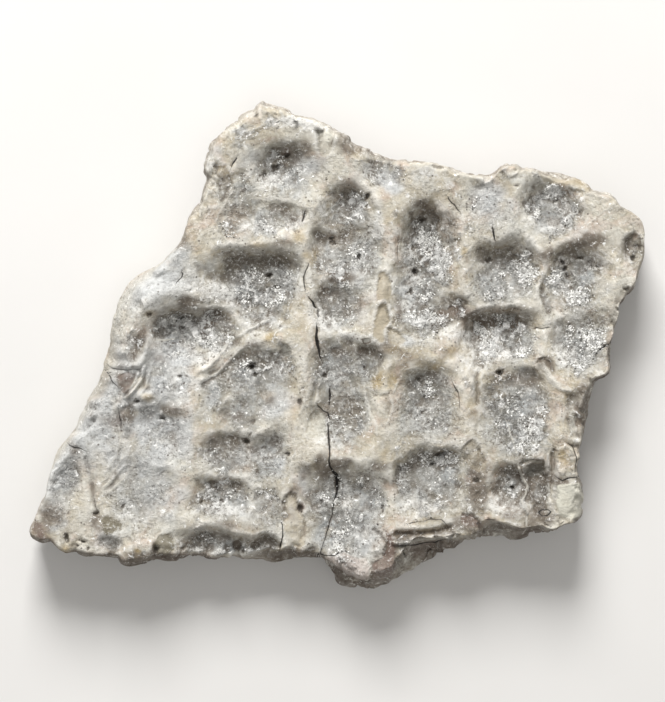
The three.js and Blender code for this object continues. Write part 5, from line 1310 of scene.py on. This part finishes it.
def fossil_bone():
    """Cream ridges, grey pit floors with white and dark grains and painted shade in the gaps between them,
    frosted patches with painted light on slopes facing +Y, grime with painted shade in the hollows and wear
    with painted highlight on the crests, painted shade on slopes and raw bone facing -Y, stains, flakes
    that lay bare other layers with painted shadow in their steps, cracks and pores painted near black as
    their shade, and raw bone on the broken edge."""
    f = Finish("fossil_bone")
    cloud = f.noise(8.0, 4.0, 0.55)
    tint = f.noise(5.0, 4.0, 0.6, 0.4)
    mottle = f.noise(1.7, 6.0, 0.66, 0.4)
    film = f.ramp(f.noise(3.2, 7.0, 0.68, 0.5), 0.47, 0.57)
    grain = f.noise(0.5, 4.0, 0.75)
    fleck = f.noise(0.9, 6.0, 0.78, 0.6)
    fibre = f.noise(0.8, 5.0, 0.7, 0.9, (1.5, 0.6, 1.0))
    web = f.veins(0.045, 1.0, 5.0, 0.68, 0.8)
    gaps = f.veins(0.03, 0.9, 4.0, 0.7, 1.2)
    cell_distance, _ = f.grains(0.34)
    small_distance, small_cell = f.grains(0.42)
    wobble = f.minus(mottle, 0.5)
    rasp = f.minus(grain, 0.5)
    crystals, hollow, crusted = f.mask("crystals"), f.mask("hollow"), f.mask("crust")
    # shade reads the slope mask of ground facing -Y, away from the key lamp, used below for painted shade
    shade, broken = f.mask("painted_shade_slope"), f.mask("broken")

    # the ridges and the floors of the pits
    in_bowl = f.ramp(f.plus(f.mask("bowl"), f.times(wobble, 0.7)), 0.25, 0.9)
    ridge = ridge_paint(f, cloud, tint, film, fibre, mottle)
    colour = f.mix(in_bowl, ridge, pit_floor_paint(f, tint, mottle))

    # frosted patches and painted light on slopes facing +Y, grime and painted shade in hollows, wear and
    # painted highlight on crests, painted shade on slopes facing -Y, and ash
    # frosted patches plus painted light on slopes facing +Y, towards the key lamp
    frost_and_light = f.plus(f.mask("frost_and_light"), f.mask("painted_light_slope"))
    frost_and_light = f.times(frost_and_light, f.ramp(f.plus(grain, wobble), 0.3, 0.65, 0.35, 1.0))
    # darker in hollows and paler on crests: grime with painted shade, and wear with painted highlight
    dirt_shade_and_highlight = f.plus(hollow, f.times(wobble, 1.6))
    colour = f.layers(
        colour,
        (frost_and_light, 0.05, 0.9, 0.85, (0.80, 0.795, 0.765)),
        (dirt_shade_and_highlight, 0.1, 1.1, 0.66, DIRT_AND_SHADE),
        (dirt_shade_and_highlight, -0.2, -1.1, 0.55, (0.72, 0.71, 0.67)),
    )
    # painted shade: slopes facing -Y darkened towards brown, broken up by mottle
    painted_shade_slope = f.times(shade, f.ramp(mottle, 0.3, 0.6, 0.6, 1.0))
    colour = f.cover(colour, painted_shade_slope, 0.62, DIRT_AND_SHADE)
    colour = f.layers(colour, (f.mask("ash"), 0.1, 1.0, 0.6, (0.56, 0.58, 0.59)))

    # where it is gritty, where there is a crust, and where the white and the dark grains are; the dark
    # grains and the gaps between grains, darker in hollows, are partly painted shade
    gritty = f.ramp(f.plus(f.mask("bowl"), f.mask("rough")), 0.0, 0.8, 0.45, 0.85)
    gritty = f.times(gritty, f.ramp(f.noise(3.5, 3.0, 0.6), 0.4, 0.6, 0.5, 1.2))
    ragged = f.plus(f.times(wobble, 1.4), f.times(rasp, 2.4))
    crust = f.ramp(f.plus(crusted, ragged), 0.3, 1.3)
    # the white crust thins on slopes facing -Y: painted shade
    crust = f.times(crust, f.ramp(shade, 0.1, 0.9, 1.0, 0.3))
    rich = f.plus(f.times(crusted, 0.1), f.times(crystals, 0.05))
    white = f.ramp(f.plus(fleck, rich), 0.6, 0.64)
    white_web = f.times(f.times(web, 0.8), f.ramp(f.plus(crystals, wobble), 0.3, 0.8))
    white = f.math("MAXIMUM", white_web, white)
    dark = f.times(f.ramp(small_cell, 0.1, 0.06), f.ramp(small_distance, 0.45, 0.3))
    dark = f.times(dark, f.ramp(f.noise(4.0, 3.0, 0.6), 0.48, 0.6))
    # dark gaps between grains: painted shade that deepens in hollows
    dark_gaps = f.times(gaps, f.ramp(f.plus(crystals, f.times(hollow, 0.5)), 0.1, 0.8, 0.1, 0.8))
    dark = f.math("MAXIMUM", dark, dark_gaps)
    colour = f.cover(colour, crust, 0.35, (0.66, 0.66, 0.64))

    # the pale spots cover raw bone too: painted light on the broken edge
    raw_share = f.ramp(f.mask("frost_and_light"), 0.1, 0.9, 1.0, 0.1)
    colour = f.mix(f.times(broken, raw_share), colour, raw_paint(f))

    uneven = f.ramp(f.plus(mottle, f.times(grain, 0.6)), 0.5, 0.95, 0.55, 1.15)

    def stained(colour, *stains):
        for kind, paint, most in stains:
            colour = f.layers(colour, (f.times(f.mask(kind), uneven), 0.05, 1.0, most, paint))
        return colour

    # the dark brown spots are earth and painted shade
    colour = stained(
        colour,
        ("soil_and_shade", (0.125, 0.10, 0.075), 0.85),
        ("ochre", (0.42, 0.32, 0.16), 0.75),
        ("rust", (0.17, 0.12, 0.098), 0.85),
        ("pink", (0.55, 0.49, 0.45), 0.9),
        ("mudstone", (0.20, 0.18, 0.13), 0.95),
    )
    colour = f.cover(colour, f.ramp(grain, 0.48, 0.32), gritty, (0.12, 0.10, 0.08))
    colour = f.cover(colour, f.ramp(grain, 0.52, 0.68), gritty, (0.76, 0.75, 0.72))
    colour = f.cover(colour, dark, 0.8, (0.09, 0.075, 0.06))
    colour = f.cover(colour, white, 0.92, WHITE_GRAIN)
    colour = stained(
        colour,
        ("tan", (0.42, 0.37, 0.28), 0.9),
        ("grey", (0.33, 0.33, 0.30), 0.9),
        ("green", (0.63, 0.62, 0.535), 0.85),
    )

    # dark outlines of the flakes, painted shadow in their steps, and pale lips with painted highlight
    at_edge = f.ramp(f.math("ABSOLUTE", f.plus(f.mask("flake_edge"), 0.1)), 0.16, 0.02)
    # the outlines are darkest on slopes facing -Y: painted shadow in the step
    strength = f.times(f.ramp(mottle, 0.4, 0.6, 0.3, 0.9), f.ramp(shade, 0.0, 0.5, 0.12, 1.0))
    colour = f.mix(f.times(at_edge, strength), colour, (0.13, 0.105, 0.08))
    # pale lips: their own paler bone and painted highlight along the lit crest
    lips = f.times(f.line("light", 0.12), f.ramp(mottle, 0.35, 0.6, 0.1, 0.8))
    colour = f.mix(lips, colour, (0.64, 0.62, 0.56))

    # the broken edge's painted shade where it faces -Y, away from the key lamp, its pale specks, then the
    # inner face
    edge_painted_shade = f.times(f.mask("painted_shade_edge"), f.ramp(f.plus(mottle, tint), 0.8, 1.15, 0.45, 1.0))
    colour = f.cover(colour, edge_painted_shade, 0.85, (0.085, 0.062, 0.046))
    specks = f.times(broken, f.ramp(f.plus(fleck, f.times(wobble, 0.5)), 0.56, 0.62))
    colour = f.cover(colour, specks, 0.7, (0.72, 0.70, 0.64))
    # near-black specks on the inner face, painted as the shade of small openings
    hole_shade_specks = f.times(f.ramp(small_cell, 0.1, 0.08), f.ramp(small_distance, 0.4, 0.2))
    colour = f.mix(f.mask("inner"), colour, inner_face_paint(f, cloud, tint, mottle, hole_shade_specks))

    # cracks, shadows under lips and ledges, and pores: near black, painted shade
    colour = f.cover(colour, f.line("dark", 0.1), 0.96, (0.012, 0.01, 0.009))
    deep = f.plus(f.mask("pore"), rasp)
    colour = f.layers(colour, (deep, 0.14, -0.2, 0.82, (0.045, 0.038, 0.03)))
    f.feed(f.shader.inputs["Base Color"], colour)
    f.feed(f.shader.inputs["Roughness"], f.ramp(f.math("MAXIMUM", white, wobble), 0.0, 1.0, 0.74, 0.4))
    f.shader.inputs["Specular IOR Level"].default_value = 0.35

    # coarse relief, and lumps where there are crystals or a crust
    grit = f.plus(f.times(grain, f.times(gritty, 2.0)), f.times(fibre, 0.25))
    coarse = f.bump(f.plus(f.plus(mottle, f.times(film, 0.2)), grit), 0.26, 0.9)
    lumpy = f.plus(f.minus(f.ramp(cell_distance, 0.5, 0.1), gaps), web)
    lumpy = f.times(lumpy, f.ramp(f.plus(crystals, crusted), 0.0, 1.0, 0.1, 1.0))
    f.feed(f.shader.inputs["Normal"], f.bump(lumpy, 0.11, 0.9, coarse))
    return f.material


def crystal_white():
    """Crystal from grey to white, a shade for each grain, and one grain in eight dark."""
    f = Finish("crystal_white")
    shade = f.mask("shade")
    colour = f.mix(f.ramp(shade, 0.1, 0.9), (0.36, 0.355, 0.33), WHITE_GRAIN)
    colour = f.mix(f.ramp(shade, 0.14, 0.12), colour, (0.07, 0.065, 0.055))
    f.feed(f.shader.inputs["Base Color"], colour)
    f.shader.inputs["Roughness"].default_value = 0.35
    return f.material


def pale_paper():
    """The floor: pale, matt, with faint mottling."""
    f = Finish("pale_paper")
    colour = f.mix(f.noise(30.0, 3.0), (0.66, 0.655, 0.645), (0.72, 0.715, 0.705))
    f.feed(f.shader.inputs["Base Color"], colour)
    f.shader.inputs["Roughness"].default_value = 0.9
    return f.material


# ---- Assembly ----
CRYSTAL_SEED = 7
FLOOR_HALF = 0.6  # metres
KEY_COLOUR, FILL_COLOUR, WORLD_COLOUR = (1.0, 0.985, 0.965), (1.0, 0.97, 0.93), (1.0, 0.985, 0.96)
VIEW_HEIGHT = 103.2  # millimetres from the picture's bottom to its top
VIEW_MIDDLE = (-0.7, -1.0)  # x and y
VIEW_LEVEL = 0.6  # the height at which the view has that size, as a share of the plate's
LENS, SENSOR = 135.0, 36.0


def build_plate():
    """The plate, and crystals on its outer face where they are dense: by crystals^1.5 and web, not on
    pores."""
    vertices, triangles, masks, outer, face = plate_surface()
    shift = centring_shift()
    plate = make_mesh("scute_bone", vertices + shift, triangles, masks)
    plate.data.materials.append(fossil_bone())
    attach(plate, "root")
    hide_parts("scute")

    density = np.clip(face.masks["crystals"], 0, 1) ** 1.5 * (face.masks["pore"] > 0.1) * face.web
    grains, grain_faces, shade = crystal_grains(outer, density, np.random.default_rng(CRYSTAL_SEED))
    crystals = make_mesh("surface_crystals", grains + shift, grain_faces, {"shade": shade}, smooth=False)
    crystals.data.materials.append(crystal_white())
    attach(crystals, "root")


def build_floor():
    """A square at the height of the plate's resting face."""
    signs = ((-1, -1), (1, -1), (1, 1), (-1, 1))
    corners = [(sx * FLOOR_HALF, sy * FLOOR_HALF, CAD_LOW[2] * MM) for sx, sy in signs]
    mesh = bpy.data.meshes.new("floor")
    mesh.from_pydata(corners, [], [(0, 1, 2, 3)])
    floor = bpy.data.objects.new("floor", mesh)
    bpy.context.scene.collection.objects.link(floor)
    mesh.materials.append(pale_paper())


def area_light(name, azimuth, elevation, distance, size, watts, colour):
    """A square lamp that faces the plate. Azimuth 0 stands at +Y, and 90 at +X."""
    lamp = bpy.data.lights.new(name, "AREA")
    lamp.size = size
    lamp.energy = watts
    lamp.color = colour
    a, e = math.radians(azimuth), math.radians(elevation)
    place = np.array([math.sin(a) * math.cos(e), math.cos(a) * math.cos(e), math.sin(e)]) * distance
    light = bpy.data.objects.new(name, lamp)
    light.location = place
    light.rotation_euler = (math.pi / 2 - e, 0, math.pi - a)
    bpy.context.scene.collection.objects.link(light)


def build_lights():
    """A key lamp low at +Y, a broad weak one high at -Y, and a dim warm world."""
    area_light("key", azimuth=-8, elevation=36, distance=0.7, size=0.3, watts=7.6, colour=KEY_COLOUR)
    area_light("fill", azimuth=180, elevation=70, distance=0.8, size=0.7, watts=1.2, colour=FILL_COLOUR)
    world = bpy.data.worlds.new("studio")
    bpy.context.scene.world = world
    world.use_nodes = True
    background = world.node_tree.nodes["Background"]
    background.inputs["Color"].default_value = (*WORLD_COLOUR, 1.0)
    background.inputs["Strength"].default_value = 0.34


def build_camera():
    """Straight down on the plate, with +Y up the picture, from the view's height times lens over
    sensor."""
    camera = bpy.data.objects.new("camera", bpy.data.cameras.new("camera"))
    camera.data.lens = LENS
    camera.data.sensor_width = SENSOR
    plane = CAD_HIGH[2] * MM * VIEW_LEVEL
    distance = VIEW_HEIGHT * MM * LENS / SENSOR
    camera.location = (VIEW_MIDDLE[0] * MM, VIEW_MIDDLE[1] * MM, plane + distance)
    camera.data.clip_start = 0.01
    camera.data.clip_end = 10.0
    bpy.context.scene.collection.objects.link(camera)
    bpy.context.scene.camera = camera


build_plate()
build_floor()
build_lights()
build_camera()
bpy.context.scene.view_settings.view_transform = "Standard"
